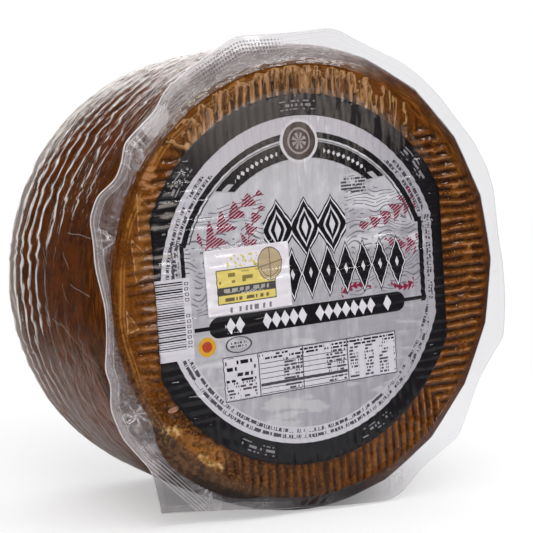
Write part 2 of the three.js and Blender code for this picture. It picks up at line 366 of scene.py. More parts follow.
class PressedRelief:
    """Geometry tree that presses ridges, bands, flats and unevenness into any sheet on the wheel."""

    # the tree's named inputs, in millimetres but for fullness, a share, groove width, a power, and the seed
    SIZES = {
        "Ridge depth": 0.85, "Ridge pitch": 3.85, "Ridge end": 84.5, "Ridge wander": 3.0, "Groove width": 1.5,
        "Band depth": 0.75, "Band pitch": 9.3, "Band start": 20.6, "Band end": 93.0, "Band kinks": 2.6,
        "Unevenness": 0.5, "Fullness": 1.0, "Cover": 0.0, "Sticker cover": 0.0, "Root bead": 0.0,
        "Stand off": 0.0, "Wrinkles": 0.7, "Facets": 0.9, "Floor": 0.3, "Seed": 4.0,
    }
    # the direction in degrees and the radius of each place where the front edge is pressed flat
    FLATS = ((50.0, 94.6), (-48.0, 94.4))

    def __init__(self, form: WheelForm, ending: str) -> None:
        """Builds the tree.

        Args:
            form: the wheel that the relief belongs to.
            ending: the end of the tree's name, for the piece that uses it.
        """
        self.form = form
        self.tree = bpy.data.node_groups.new(f"pressed relief {ending}", "GeometryNodeTree")
        self.tree.is_modifier = True
        face = self.tree.interface
        face.new_socket("Geometry", in_out="INPUT", socket_type="NodeSocketGeometry")
        face.new_socket("Geometry", in_out="OUTPUT", socket_type="NodeSocketGeometry")
        for name, value in self.SIZES.items():
            face.new_socket(name, in_out="INPUT", socket_type="NodeSocketFloat").default_value = value
        face.new_socket("Material", in_out="INPUT", socket_type="NodeSocketMaterial")
        self.group = add_node(self.tree, "NodeGroupInput").outputs
        self.named = {name.lower().replace(" ", "_"): self.group[name] for name in self.SIZES} | {
            "lip": form.lip_radius, "edge": form.edge_radius, "rounding": form.edge_rounding,
            "thickness": form.thickness, "mm": MM,
        }
        self.build()

    def value(self, text: str, **values: object) -> Socket:
        """Works out a formula of x, z, r, depth d, the tree's inputs, the form's sizes and other values."""
        return formula(self.tree, text, **self.named, **values)

    def noise(self, grain: float, detail: float, place: Socket, seed_step: float) -> Socket:
        """Adds noise from 0 to 1 over the surface.

        Args:
            grain: size of its lumps in millimetres.
            detail: how many finer layers it has.
            place: position in millimetres.
            seed_step: added to the seed, so that each noise differs.

        Returns:
            The socket of the noise.
        """
        seed = self.value("seed + step", step=seed_step)
        links = {"Vector": place, "W": seed, "Scale": 1 / grain, "Detail": detail, "Roughness": 0.55}
        return add_node(self.tree, "ShaderNodeTexNoise", {"noise_dimensions": "4D"}, links).outputs[0]

    def build(self) -> None:
        """Makes the nodes from the position to the new position."""
        tree, form = self.tree, self.form
        start = add_node(tree, "GeometryNodeInputPosition").outputs[0]
        to_wheel = {0: start, 1: (form.axis_x * MM, form.front_y * MM, form.axis_z * MM)}
        centred = add_node(tree, "ShaderNodeVectorMath", {"operation": "SUBTRACT"}, to_wheel).outputs[0]
        to_millimetres = {0: centred, "Scale": 1 / MM}
        self.place = add_node(tree, "ShaderNodeVectorMath", {"operation": "SCALE"}, to_millimetres).outputs[0]
        x, depth, z = add_node(tree, "ShaderNodeSeparateXYZ", {}, {0: self.place}).outputs
        on_plane = add_node(tree, "ShaderNodeCombineXYZ", {}, {"X": x, "Z": z}).outputs[0]
        radius = formula(tree, "max(sqrt(x * x + z * z), 0.01)", x=x, z=z)
        self.named |= {"x": x, "d": depth, "z": z, "r": radius}
        groove = self.groove(self.noise(13, 1.5, on_plane, 0))
        faces = {
            "groove": groove, "face": self.value("(d < 3) + (d > thickness - 1.5)"),
            "deeper": self.value("2.4 * ramp(n, 0.25, 0.75)", n=self.noise(7, 2, on_plane, 2)),
        }
        band, swell = self.band()
        lift = self.value("(n - 0.5) * 2 * unevenness + stand_off", n=self.noise(45, 1, self.place, 1))
        facet = self.value(
            "facets * (4 * (fract(atan2(z, x) * 3.31 - 2.2) - 0.5) ** 2 - 0.35) * ramp(x / r, 0.1, 0.5) "
            "* (1 - ramp(d, 7, 18)) * ramp(r, lip, lip + 4)"
        )
        fuller = self.value(
            "fullness * ramp(x / r - z / r * 0.3, -0.2, 0.5) * (d < thickness / 2) "
            "* exp(-1 * ((atan2(r - lip, rounding - d) - 0.9) / 0.5) ** 2)"
        )
        out = self.value(
            "swell + bead + facet + fuller + lift * ramp(r, lip - 4, edge)", swell=swell, bead=self.bead(),
            facet=facet, fuller=fuller, lift=lift,
        )
        flat_x, flat_z = self.flats()
        back = self.value(
            "(groove * face * ridge_depth * deeper * (1 - 2 * (d > thickness / 2)) - film "
            "+ lift * (ramp(d, thickness - rounding, thickness) - 1 + ramp(d, 0, rounding)) "
            "+ (n - 0.5) * wrinkles * (d < 3) * ramp(r, 74, 77)) * mm",
            film=self.cover(), lift=lift, n=self.noise(3.2, 2, self.place, 5), **faces,
        )
        move = {
            0: self.value("(out * x / r - flat) * mm", out=out, flat=flat_x), 1: back,
            2: self.value("(out * z / r - flat) * mm", out=out, flat=flat_z),
        }
        moved = {0: start, 1: add_node(tree, "ShaderNodeCombineXYZ", {}, move).outputs[0]}
        new_place = add_node(tree, "ShaderNodeVectorMath", {}, moved).outputs[0]
        new_x, new_y, new_z = add_node(tree, "ShaderNodeSeparateXYZ", {}, {0: new_place}).outputs
        over_floor = {0: new_x, 1: new_y, 2: self.value("max(height, floor * mm)", height=new_z)}
        end = add_node(tree, "ShaderNodeCombineXYZ", {}, over_floor).outputs[0]
        shape = self.group["Geometry"]
        kept = {"groove": self.value("groove * face * min(deeper, 1)", **faces), "band": band}
        for name, value in kept.items():
            links = {"Geometry": shape, "Name": name, "Value": value}
            settings = {"data_type": "FLOAT"}
            shape = add_node(tree, "GeometryNodeStoreNamedAttribute", settings, links).outputs[0]
        shape = add_node(tree, "GeometryNodeSetPosition", {}, {"Geometry": shape, "Position": end}).outputs[0]
        shape = add_node(tree, "GeometryNodeSetShadeSmooth", {}, {"Geometry": shape}).outputs[0]
        shape = add_node(tree, "GeometryNodeRealizeInstances", {}, {"Geometry": shape}).outputs[0]
        links = {"Geometry": shape, "Material": self.group["Material"]}
        shape = add_node(tree, "GeometryNodeSetMaterial", {}, links).outputs[0]
        add_node(tree, "NodeGroupOutput", {}, {"Geometry": shape})

    def groove(self, wander: Socket) -> Socket:
        """Gives how far a face lies in a groove.

        Args:
            wander: noise that lets the ridges stray from their straight lines.

        Returns:
            The socket, from 0 on a ridge to 1 in a groove's bottom.
        """
        across = self.value(
            "abs(min(abs(x * c + z * s), abs(z * c - x * s)) + (n - 0.5) * ridge_wander)", n=wander,
            c=math.cos(self.form.turn), s=math.sin(self.form.turn),
        )
        return self.value(
            "abs(1 - 2 * fract(across / ridge_pitch)) ** groove_width * (1 - ramp(r + 5 * (n - 0.5) "
            f"- 7 * {TO_LOW_RIGHT}, ridge_end - 2, ridge_end + 0.6))", across=across, n=wander,
        )

    def band(self) -> tuple[Socket, Socket]:
        """Gives the count of side bands up to a place and how far the side swells there in millimetres."""
        saw = self.value("fract(atan2(x, z) * 15 / 2.1 + n * 5)", n=self.noise(24, 0, self.place, 3))
        count = self.value(
            "(d - band_start + ((n - 0.5) * 3 + min(s / 0.72, (1 - s) / 0.28) - 0.5) * band_kinks) "
            "/ band_pitch", s=saw, n=self.noise(13, 1, self.place, 4),
        )
        swell = self.value(
            "band_depth * (min(share / 0.62, (1 - share) / 0.38) - 0.6) "
            "* ramp(d, band_start - 8, band_start) * (1 - ramp(d, band_end, band_end + 5)) "
            "* (0.12 + 0.88 * ramp(d + 26 * ramp(z / r, 0.1, 0.8) "
            "- 14 * ramp(-1 * z / r, 0.3, 0.7), 42, 66))",
            share=self.value("fract(count)", count=count),
        )
        return count, swell

    def flats(self) -> tuple[Socket, Socket]:
        """Gives how far the front edge is pressed in, in x and z, where it was set down on its rim."""
        total_x, total_z = 0.0, 0.0
        for angle, limit in self.FLATS:
            spin = {"c": math.cos(math.radians(angle)), "s": math.sin(math.radians(angle))}
            over = self.value("max(x * c + z * s - limit, 0) * (1 - ramp(d, 4, 22))", limit=limit, **spin)
            total_x = self.value("total + over * c", total=total_x, over=over, **spin)
            total_z = self.value("total + over * s", total=total_z, over=over, **spin)
        return total_x, total_z

    def cover(self) -> Socket:
        """Gives how far film stands out over the label and the sticker."""
        label, sticker = LabelForm(), StickerForm()
        past_label = self.value(
            "max(sqrt((x - cx) ** 2 + z * z) - radius, abs((x - cx) * c + z * s) - half)", cx=label.centre_x,
            radius=label.radius, half=label.left_cut, c=math.cos(label.turn), s=math.sin(label.turn),
        )
        past_sticker = self.value(
            "max(abs((x - cx) * c + (z - cz) * s) - half_width, "
            "abs((z - cz) * c - (x - cx) * s) - half_height)",
            cx=sticker.centre[0], cz=sticker.centre[1], c=math.cos(sticker.turn), s=math.sin(sticker.turn),
            half_width=sticker.width / 2, half_height=sticker.height / 2,
        )
        return self.value(
            "(d < 3) * (cover * (1 - ramp(label, 0.1, 1.6)) + sticker_cover * (1 - ramp(sticker, 0.1, 1.3)))",
            label=past_label, sticker=past_sticker,
        )

    def bead(self) -> Socket:
        """Gives how far the film is drawn out where its standing rim starts."""
        rim = RimForm()
        c, s = math.cos(rim.low_angle), math.sin(rim.low_angle)
        low = self.value("ramp((x * c + z * s) / r, 0.93, 1)", c=c, s=s)
        return self.value(
            "root_bead * (d < 12) "
            "* exp(-1 * ((atan2(r - lip, rounding - d) - root - low * more) * rounding / 1.1) ** 2)",
            root=rim.root_swing, low=low, more=rim.low_swing,
        )


@dataclass(frozen=True)
class LabelForm:
    """Sizes of the printed label in millimetres."""

    radius: float = 75.8
    centre_x: float = -2.5
    left_cut: float = 69.1
    right_cut: float = 68.8
    turn: float = math.radians(4.5)
    front: float = -0.9
    back: float = -0.3


@dataclass(frozen=True)
class StickerForm:
    """Sizes of the paper sticker in millimetres."""

    width: float = 38.6
    height: float = 26.2
    centre: tuple[float, float] = (-30.9, 1.5)
    turn: float = math.radians(5)
    front: float = -1.55
    back: float = -1.2


@dataclass(frozen=True)
class RimForm:
    """Sizes of the film's standing rim in millimetres."""

    root_swing: float = math.radians(20)
    low_swing: float = math.radians(40)
    low_angle: float = math.radians(236)
    film: float = 0.3


def new_material(name: str) -> tuple[bpy.types.Material, bpy.types.Node]:
    """Makes a material with one main shader.

    Args:
        name: what the material is, in plain words.

    Returns:
        The material and its Principled shader.
    """
    material = bpy.data.materials.new(name)
    material.use_nodes = True
    return material, material.node_tree.nodes["Principled BSDF"]


@dataclass(frozen=True)
class Layer:
    """One colour laid over those before it, where a formula gives 1."""

    where: str
    colour: str


def within(region: str, *fields: tuple[str, str]) -> tuple[Layer, ...]:
    """Keeps fields of colour to one region.

    Args:
        region: the formula of the region.
        fields: the formula and the hex colour of each field.

    Returns:
        The layers in the same order.
    """
    return tuple(Layer(f"({region}) * ({where})", colour) for where, colour in fields)


def paint(tree: Tree, ground: str, layers: tuple[Layer, ...], **values: object) -> Socket:
    """Lays colours over each other.

    Args:
        tree: the shader tree.
        ground: hex colour of what lies beneath.
        layers: the colours in the order in which they are laid.
        values: sockets or numbers for the names in the layers' formulas.

    Returns:
        The socket of the final colour.
    """
    colour, built = linear(ground), {}
    for layer in layers:
        share = formula(tree, layer.where, built, **values)
        links = {0: share, 6: colour, 7: linear(layer.colour)}
        settings = {"data_type": "RGBA", "clamp_factor": True}
        colour = add_node(tree, "ShaderNodeMix", settings, links).outputs[2]
    return colour


class WheelCoordinates:
    """The places that a finish is drawn by: millimetres from the wheel's axis and front face."""

    MEAN_RADIUS = 97.0

    def __init__(self, tree: Tree, form: WheelForm) -> None:
        """Adds the nodes that turn Object coordinates into wheel places.

        Args:
            tree: the material's tree.
            form: the wheel.
        """
        self.tree = tree
        source = add_node(tree, "ShaderNodeTexCoord").outputs["Object"]
        start = (-form.axis_x, -form.front_y, -form.axis_z)
        links = {"Vector": source, "Location": start, "Scale": (1 / MM,) * 3}
        self.place = add_node(tree, "ShaderNodeMapping", {}, links).outputs[0]
        x, depth, z = add_node(tree, "ShaderNodeSeparateXYZ", {}, {0: self.place}).outputs
        self.named = {"x": x, "d": depth, "z": z, "r": formula(tree, "sqrt(x * x + z * z)", x=x, z=z)}

    def value(self, text: str, **values: object) -> Socket:
        """Works out a formula of x, z, r, the depth d and any further values."""
        return formula(self.tree, text, **self.named, **values)

    def noise(self, grain: float, detail: float = 2.0, stretch: tuple[float, ...] = (1, 1, 1)) -> Socket:
        """Adds noise from 0 to 1.

        Args:
            grain: size of its lumps in millimetres.
            detail: how many finer layers it has.
            stretch: how much longer the lumps are along x, depth and z.

        Returns:
            The socket of the noise.
        """
        links = {"Vector": self.place, "Scale": tuple(1 / s for s in stretch)}
        spread = add_node(self.tree, "ShaderNodeMapping", {}, links).outputs[0]
        links = {"Vector": spread, "Scale": 1 / grain, "Detail": detail, "Roughness": 0.6}
        return add_node(self.tree, "ShaderNodeTexNoise", {}, links).outputs[0]

    def noises(self, **sizes: tuple) -> dict[str, Socket]:
        """Adds noises by name, each with its grain and what else noise takes."""
        return {name: self.noise(*size) for name, size in sizes.items()}

    def side_noise(self, around: float, across: float) -> Socket:
        """Adds noise on the unrolled side, with lumps of given sizes around it and across it."""
        arc = self.value("atan2(x, z) * mean / size", mean=self.MEAN_RADIUS, size=around)
        depth = self.value("(d + r) / size", size=across)
        place = add_node(self.tree, "ShaderNodeCombineXYZ", {}, {0: arc, 1: depth}).outputs[0]
        links = {"Vector": place, "Scale": 1.0, "Detail": 1.0}
        return add_node(self.tree, "ShaderNodeTexNoise", {}, links).outputs[0]

    def attribute(self, name: str) -> Socket:
        """Gives a number that the piece's mesh carries."""
        return add_node(self.tree, "ShaderNodeAttribute", {"attribute_name": name}).outputs["Fac"]

    def towards(self, degrees: float) -> Socket:
        """Gives the cosine of the angle round the axis from a direction, 0 degrees being to the right."""
        angle = math.radians(degrees)
        return self.value("(x * c + z * s) / (r + 0.001)", c=math.cos(angle), s=math.sin(angle))

    def spun(self, turn: float) -> dict[str, Socket]:
        """Gives the x and z of a sheet that is turned on the face, by those names."""
        turned = {"x": "x * c + z * s", "z": "z * c - x * s"}
        return {name: self.value(text, c=math.cos(turn), s=math.sin(turn)) for name, text in turned.items()}

    def loose(self) -> Socket:
        """Gives where film stands off the top of the labelled face, between wet drips from the lip."""
        wobble = self.noise(6, 2)
        arc = self.value("atan2(x, z) * 80 + (n - 0.5) * 16", n=wobble)
        drip = self.value("2 + 9 * chance(floor(a / 8.5)) ** 1.4 + 5 * ramp(-1 * x, 30, 55)", a=arc)
        wet = self.value(
            "ramp(1.0 - (87.5 - r + (n - 0.5) * 9) / length - abs(fract(a / 8.5) - 0.5) * 2, 0, 0.3)",
            a=arc, length=drip, n=wobble,
        )
        return self.value(
            "(1 - wet) * (d < 3) * (1 - ramp(r, 86.5, 88)) * ramp(z - 0.0031 * (x + 12) ** 2, 40, 56) "
            "* (1 - ramp(x + (n - 0.5) * 70, 26, 44))", wet=wet, n=self.noise(2.2, 1, (1, 1, 9)),
        )


@dataclass(frozen=True)
class CheeseRind:
    """Pressed rind of an aged sheep's milk cheese, coated brown.

    It is mottled all over, with painted shade in the grooves, and golden on the lips.
    """

    ground: str = "#5A2C05"
    roughness: float = 0.45
    gloss: float = 0.04
    pit_size: float = 1.5
    pit_depth: float = 0.3
    peaks: tuple[tuple[float, float, float, float, float], ...] = (
        (-79.5, 36, -64, 17, 0.42), (-82, 19, -62, 17, 0.38), (-84, -8, -70, 10, 0.3),
    )

    def tents(self, at: WheelCoordinates) -> Socket:
        """Gives where film stands off in narrow peaks; each has its tip, course, length and slope."""
        inside = 0.0
        for x, z, degrees, length, slope in self.peaks:
            c, s = math.cos(math.radians(degrees)), math.sin(math.radians(degrees))
            inside = at.value(
                "max(before, min(((x - px) * c + (z - pz) * s) * slope - abs((z - pz) * c - (x - px) * s), "
                "length - (x - px) * c - (z - pz) * s) / 8)",
                before=inside, px=x, pz=z, c=c, s=s, length=length, slope=slope,
            )
        return inside

    def layers(self) -> tuple[Layer, ...]:
        """Gives the fields of colour, from the coat's mottling to the marks that lie on it, with painted
        light and shade among them.
        """
        top_lip = "(d < 12) * ramp(r, 84.5, 86.5) * ramp(z, 15, 45)"
        by_label = "(d < 3) * near"
        tent = "(d < 3) * ramp(tent, 0.0, 0.04)"
        lip_lines = "max(exp(-1 * (lip_line / 0.45) ** 2), exp(-1 * ((lip_line + 1.5) / 0.3) ** 2))"
        return (
            # the coat, mottled all over and lighter at the left, with painted shade low down and a paler
            # painted sheen on the lower side at the left
            Layer("ramp(mottle, 0.4, 0.7)", "#6C3404"),
            Layer("ramp(fine, 0.5, 0.72) * 0.5", "#7A430E"),
            Layer("(1 - ramp(fine * 0.5 + mottle * 0.5, 0.36, 0.5)) * 0.75", "#381A03"),
            Layer("face * ramp(mottle, 0.3, 0.65) * 0.7", "#7A4A16"),
            *within("front * left * (1 - 0.6 * low)", ("0.65", "#6A3A0A"),
                    ("ramp(mottle, 0.48, 0.6) * 0.6", "#885218")),
            *within("low * west", ("front * ramp(mottle, 0.4, 0.56) * 0.8", "#371D08"),
                    ("(r > 90) * (d > 12) * (d < 94) * 0.35", "#8E6048")),
            *within("front * amber", ("0.8", "#95602A"), ("ramp(fine, 0.5, 0.6) * 0.5", "#B98442")),
            # pressed ridges, with painted shade in the grooves and painted highlights on the crests
            *within("face * (1 - loose)",
                    ("ramp(groove, 0.15 + 0.2 * left, 0.75) * (0.9 - 0.35 * left)", "#2C1504")),
            Layer("front * amber * (1 - ramp(strokes, 0.4, 0.47)) * 0.65", "#46250C"),
            *within(
                "face * ridged",
                ("(1 - ramp(groove, 0, 0.2)) * ramp(streak, 0.44, 0.56) * (0.8 - 0.3 * low - 0.5 * left)",
                 "#AE7436"),
                ("(d < 3) * ramp(x, 50, 58) * (1 - ramp(groove, 0, 0.16)) * ramp(run, 0.42, 0.56) * 0.8",
                 "#B9875C"),
            ),
            # the lip at the top, wet and streaked round the wheel
            Layer("wet_top * 0.85", "#6E3B0B"),
            *within(top_lip, ("ramp(lines, 0.5, 0.56) * 0.6", "#40200A"),
                    ("(1 - ramp(lines, 0.4, 0.45)) * 0.5", "#9A5E22")),
            # painted shade low on the labelled face
            Layer("front * ramp(-1 * z, 45, 80) * (1 - west) * (1 - ramp(x, 10, 40)) * 0.4", "#2E1503"),
            # paler crests beside the label and under the small tents of film at the left, painted highlights
            # where the film stands off, with painted shade in the tents' grooves
            *within(by_label, ("(1 - ramp(groove, 0.1, 0.3)) * ramp(run, 0.4, 0.5) * 0.65", "#A46E3C"),
                    ("(1 - ramp(groove, 0.02, 0.12)) * ramp(run, 0.45, 0.55) * 0.5", "#C4966C")),
            *within(tent, ("0.2 + 0.4 * ramp(run, 0.42, 0.52)", "#A2703C"),
                    ("(1 - ramp(tent, 0.06, 0.12)) * ramp(streak, 0.4, 0.5) * 0.6", "#D0AC84"),
                    ("ramp(groove, 0.15, 0.4) * 0.8", "#6A3F10")),
            # the lip at the left, darker towards the rim as painted shade beside the film's rim, with two
            # thin tan lines along it
            *within("(d < 12) * left", ("ramp(r, 86.8, 88.2) * 0.85", "#45220A"),
                    ("ramp(r, 86.4, 87.4) * ramp(lines, 0.5, 0.56) * 0.6", "#7A4614"),
                    (f"(d < 4) * {lip_lines} * (1 - 0.6 * low) * ramp(mottle, 0.4, 0.55) * 0.75", "#AE7C3E")),
            # paler under the loose film at the top, a painted sheen of that film, with painted shade in the
            # grooves, painted highlights on the crests, thin threads of painted highlight and shade, and a
            # wet edge
            *within("loose", ("1", "#956838"),
                    ("ramp(groove, 0.25, 0.6) * ramp(fine, 0.25, 0.45)", "#2A1304"),
                    ("(1 - ramp(groove, 0.02, 0.12)) * ramp(streak, 0.4, 0.6) * 0.7", "#C49C74"),
                    ("ramp(thread, 0.5, 0.55) * 0.8", "#54320F"),
                    ("(1 - ramp(thread, 0.4, 0.45)) * 0.4", "#CFA680")),
            Layer("loose * (1 - loose) * 2.8", "#C99A62"),
            Layer("ramp(loose, 0.02, 0.12) * (1 - ramp(loose, 0.25, 0.4)) * 0.9", "#2C1505"),
            # the rounded edge at the lower left, darkened as painted shade, and rubbed bare patches on the
            # ridges inside it
            *within("(d < 12) * west * low * ramp(r, 86, 89)", ("0.7", "#3A210F"),
                    ("ramp(fine, 0.46, 0.58) * 0.7", "#6E5030"),
                    ("(1 - ramp(mottle, 0.4, 0.5)) * 0.6", "#20120A")),
            *within("(d < 6) * bare", ("0.7", "#A2732F"), ("ramp(fine, 0.44, 0.58) * 0.9", "#CFB27C")),
            *within("front * (1 - loose)",
                    ("ramp(grain, 0.52, 0.62) * (0.14 + 0.16 * low * west)", "#2A1404"),
                    ("(1 - ramp(grain, 0.38, 0.48)) * (0.08 + 0.12 * low * west)", "#B98A50")),
            Layer("(d < 6) * bare * (1 - ramp(streak, 0.36, 0.46)) * 0.8", "#5A3A14"),
            # one small pale oval in a dark ring, and painted shade on the underside
            *within("d < 3", ("(spot < 1.3) * 0.8", "#3A200C"),
                    ("(spot < 1) * (0.6 + 0.4 * ramp(fine, 0.4, 0.6))", "#B98B74")),
            *within("(d < 12) * ramp(r, 89, 92)",
                    ("ramp(-1 * z, 70, 88) * (1 - ramp(x, 15, 45)) * 0.9", "#140C06")),
        )

    def make(self, form: WheelForm) -> bpy.types.Material:
        """Makes the material.

        Args:
            form: the wheel that wears it.

        Returns:
            The material.
        """
        material, shader = new_material("coated cheese rind")
        tree = material.node_tree
        at = WheelCoordinates(tree, form)
        loose = at.loose()
        along_edge = {"u": at.value("x * 0.885 - z * 0.466"), "v": at.value("x * 0.466 + z * 0.885")}
        noises = at.noises(
            mottle=(9, 4), fine=(2.2, 3), grain=(1.1, 1), streak=(1.6, 2), run=(2.4, 2, (3, 1, 1)),
            thread=(1.5, 2, (1, 1, 7)), strokes=(1.2, 1, (5, 1, 1)),
        )
        values = at.named | noises | {
            "lines": at.side_noise(9, 0.8), "groove": at.attribute("groove"), "loose": loose,
            "tent": self.tents(at),
            "face": at.value("((d < 3) + (d > back)) * (r < 92.5)", back=form.thickness - 3),
            "front": at.value("(d < 3) * (r < 92.5)"), "low": at.value("ramp(-1 * z, 5, 60)"),
            "west": at.value("1 - ramp(x, -40, 0)"),
            "left": at.value("ramp(c, -0.1, 0.45)", c=at.towards(165)),
            "wet_top": at.value(
                "(1 - loose) * (d < 3) * (1 - ramp(r, 86.5, 88)) "
                "* ramp(z - 0.0035 * (x + 12) ** 2, 42, 62)", loose=loose,
            ),
            "near": at.value(
                "ramp(x + 9 * (n - 0.5), -79, -74.5) * (x < -70.5) * ramp(z, -45, -20) "
                "* (1 - ramp(z, 44, 60))",
                n=at.noise(4, 1, (3, 1, 1)),
            ),
            "ridged": at.value(f"1 - ramp(r - 7 * {TO_LOW_RIGHT}, 79, 83)"),
            "lip_line": at.value("r - 85.8 - 2.5 * ramp(-1 * z, 0, 45) - (n - 0.5) * 5", n=at.noise(22, 0)),
            "spot": at.value("sqrt(((x + 63.2) / 3) ** 2 + ((z + 48.4 - 0.25 * (x + 63.2)) / 1.05) ** 2)"),
            "amber": at.value(
                "ramp(exp(-1 * ((u + 14) ** 2 / 240 + (v + 81) ** 2 / 24)) + (n - 0.5) * 0.9, 0.4, 0.75)",
                n=at.noise(5, 2), **along_edge,
            ),
            "bare": at.value(
                "ramp(max(exp(-1 * ((u + 29.8) ** 2 / 36 + (v + 80.4) ** 2 / 6)), "
                "exp(-1 * ((u + 8.6) ** 2 / 50 + (v + 84.9) ** 2 / 4))) + (n - 0.5) * 2, 0.4, 0.75)",
                n=at.noise(3.2, 3), **along_edge,
            ),
        }
        tree.links.new(paint(tree, self.ground, self.layers(), **values), shader.inputs["Base Color"])
        shader.inputs["Roughness"].default_value = self.roughness
        shader.inputs["Specular IOR Level"].default_value = self.gloss
        pits = formula(tree, "a * 0.6 + b * 0.4", a=at.noise(self.pit_size, 2), b=at.noise(5, 1))
        links = {"Height": pits, "Distance": self.pit_depth * MM, "Strength": 1.0}
        tree.links.new(add_node(tree, "ShaderNodeBump", {}, links).outputs[0], shader.inputs["Normal"])
        return material


def box(left: float, low: float, right: float, high: float) -> str:
    """Writes the formula of an upright rectangle."""
    return f"(x > {left}) * (x < {right}) * (z > {low}) * (z < {high})"


def frame_line(left: float, low: float, right: float, high: float, half: float) -> str:
    """Writes the formula of a rectangle's outline of a given half width."""
    middle_x, middle_z = (left + right) / 2, (low + high) / 2
    wide, tall = (right - left) / 2, (high - low) / 2
    return f"(abs(max(abs(x - {middle_x}) - {wide}, abs(z - {middle_z}) - {tall})) < {half})"


def sprig(x: float, z: float, degrees: float, length: float, leaf: float) -> str:
    """Writes the formula of a stem with opposite pointed leaves, from its root at x and z."""
    c, s = round(math.cos(math.radians(degrees)), 4), round(math.sin(math.radians(degrees)), 4)
    along = f"((x - {x}) * {c} + (z - {z}) * {s})"
    aside = f"abs((z - {z}) * {c} - (x - {x}) * {s} - 2 * sin({along} / {length} * 3.14))"
    taper = f"({leaf} * (1 - {along} / {length} * 0.7))"
    leaves = f"(abs(fract(({along} - {aside} * 0.9) / {leaf}) - 0.5) < 0.36 * (1 - ({aside} / {taper}) ** 2))"
    return f"({along} > 0) * ({along} < {length}) * ({aside} < {taper}) * max({leaves}, {aside} < 0.35)"


def crease_line(start_a: float, start_d: float, end_a: float, end_d: float, half: float) -> str:
    """Writes the formula of a thin crease on the unrolled side; a runs along its arc and d is the depth."""
    length = math.hypot(end_a - start_a, end_d - start_d)
    c, s = (end_a - start_a) / length, (end_d - start_d) / length
    along = f"((a - {start_a}) * {c} + (d - {start_d}) * {s})"
    aside = f"abs((d - {start_d}) * {c} - (a - {start_a}) * {s} + 0.25 * sin({along} * 0.4))"
    return f"({along} > 0) * ({along} < {length}) * (1 - ramp({aside}, {half * 0.4}, {half}))"


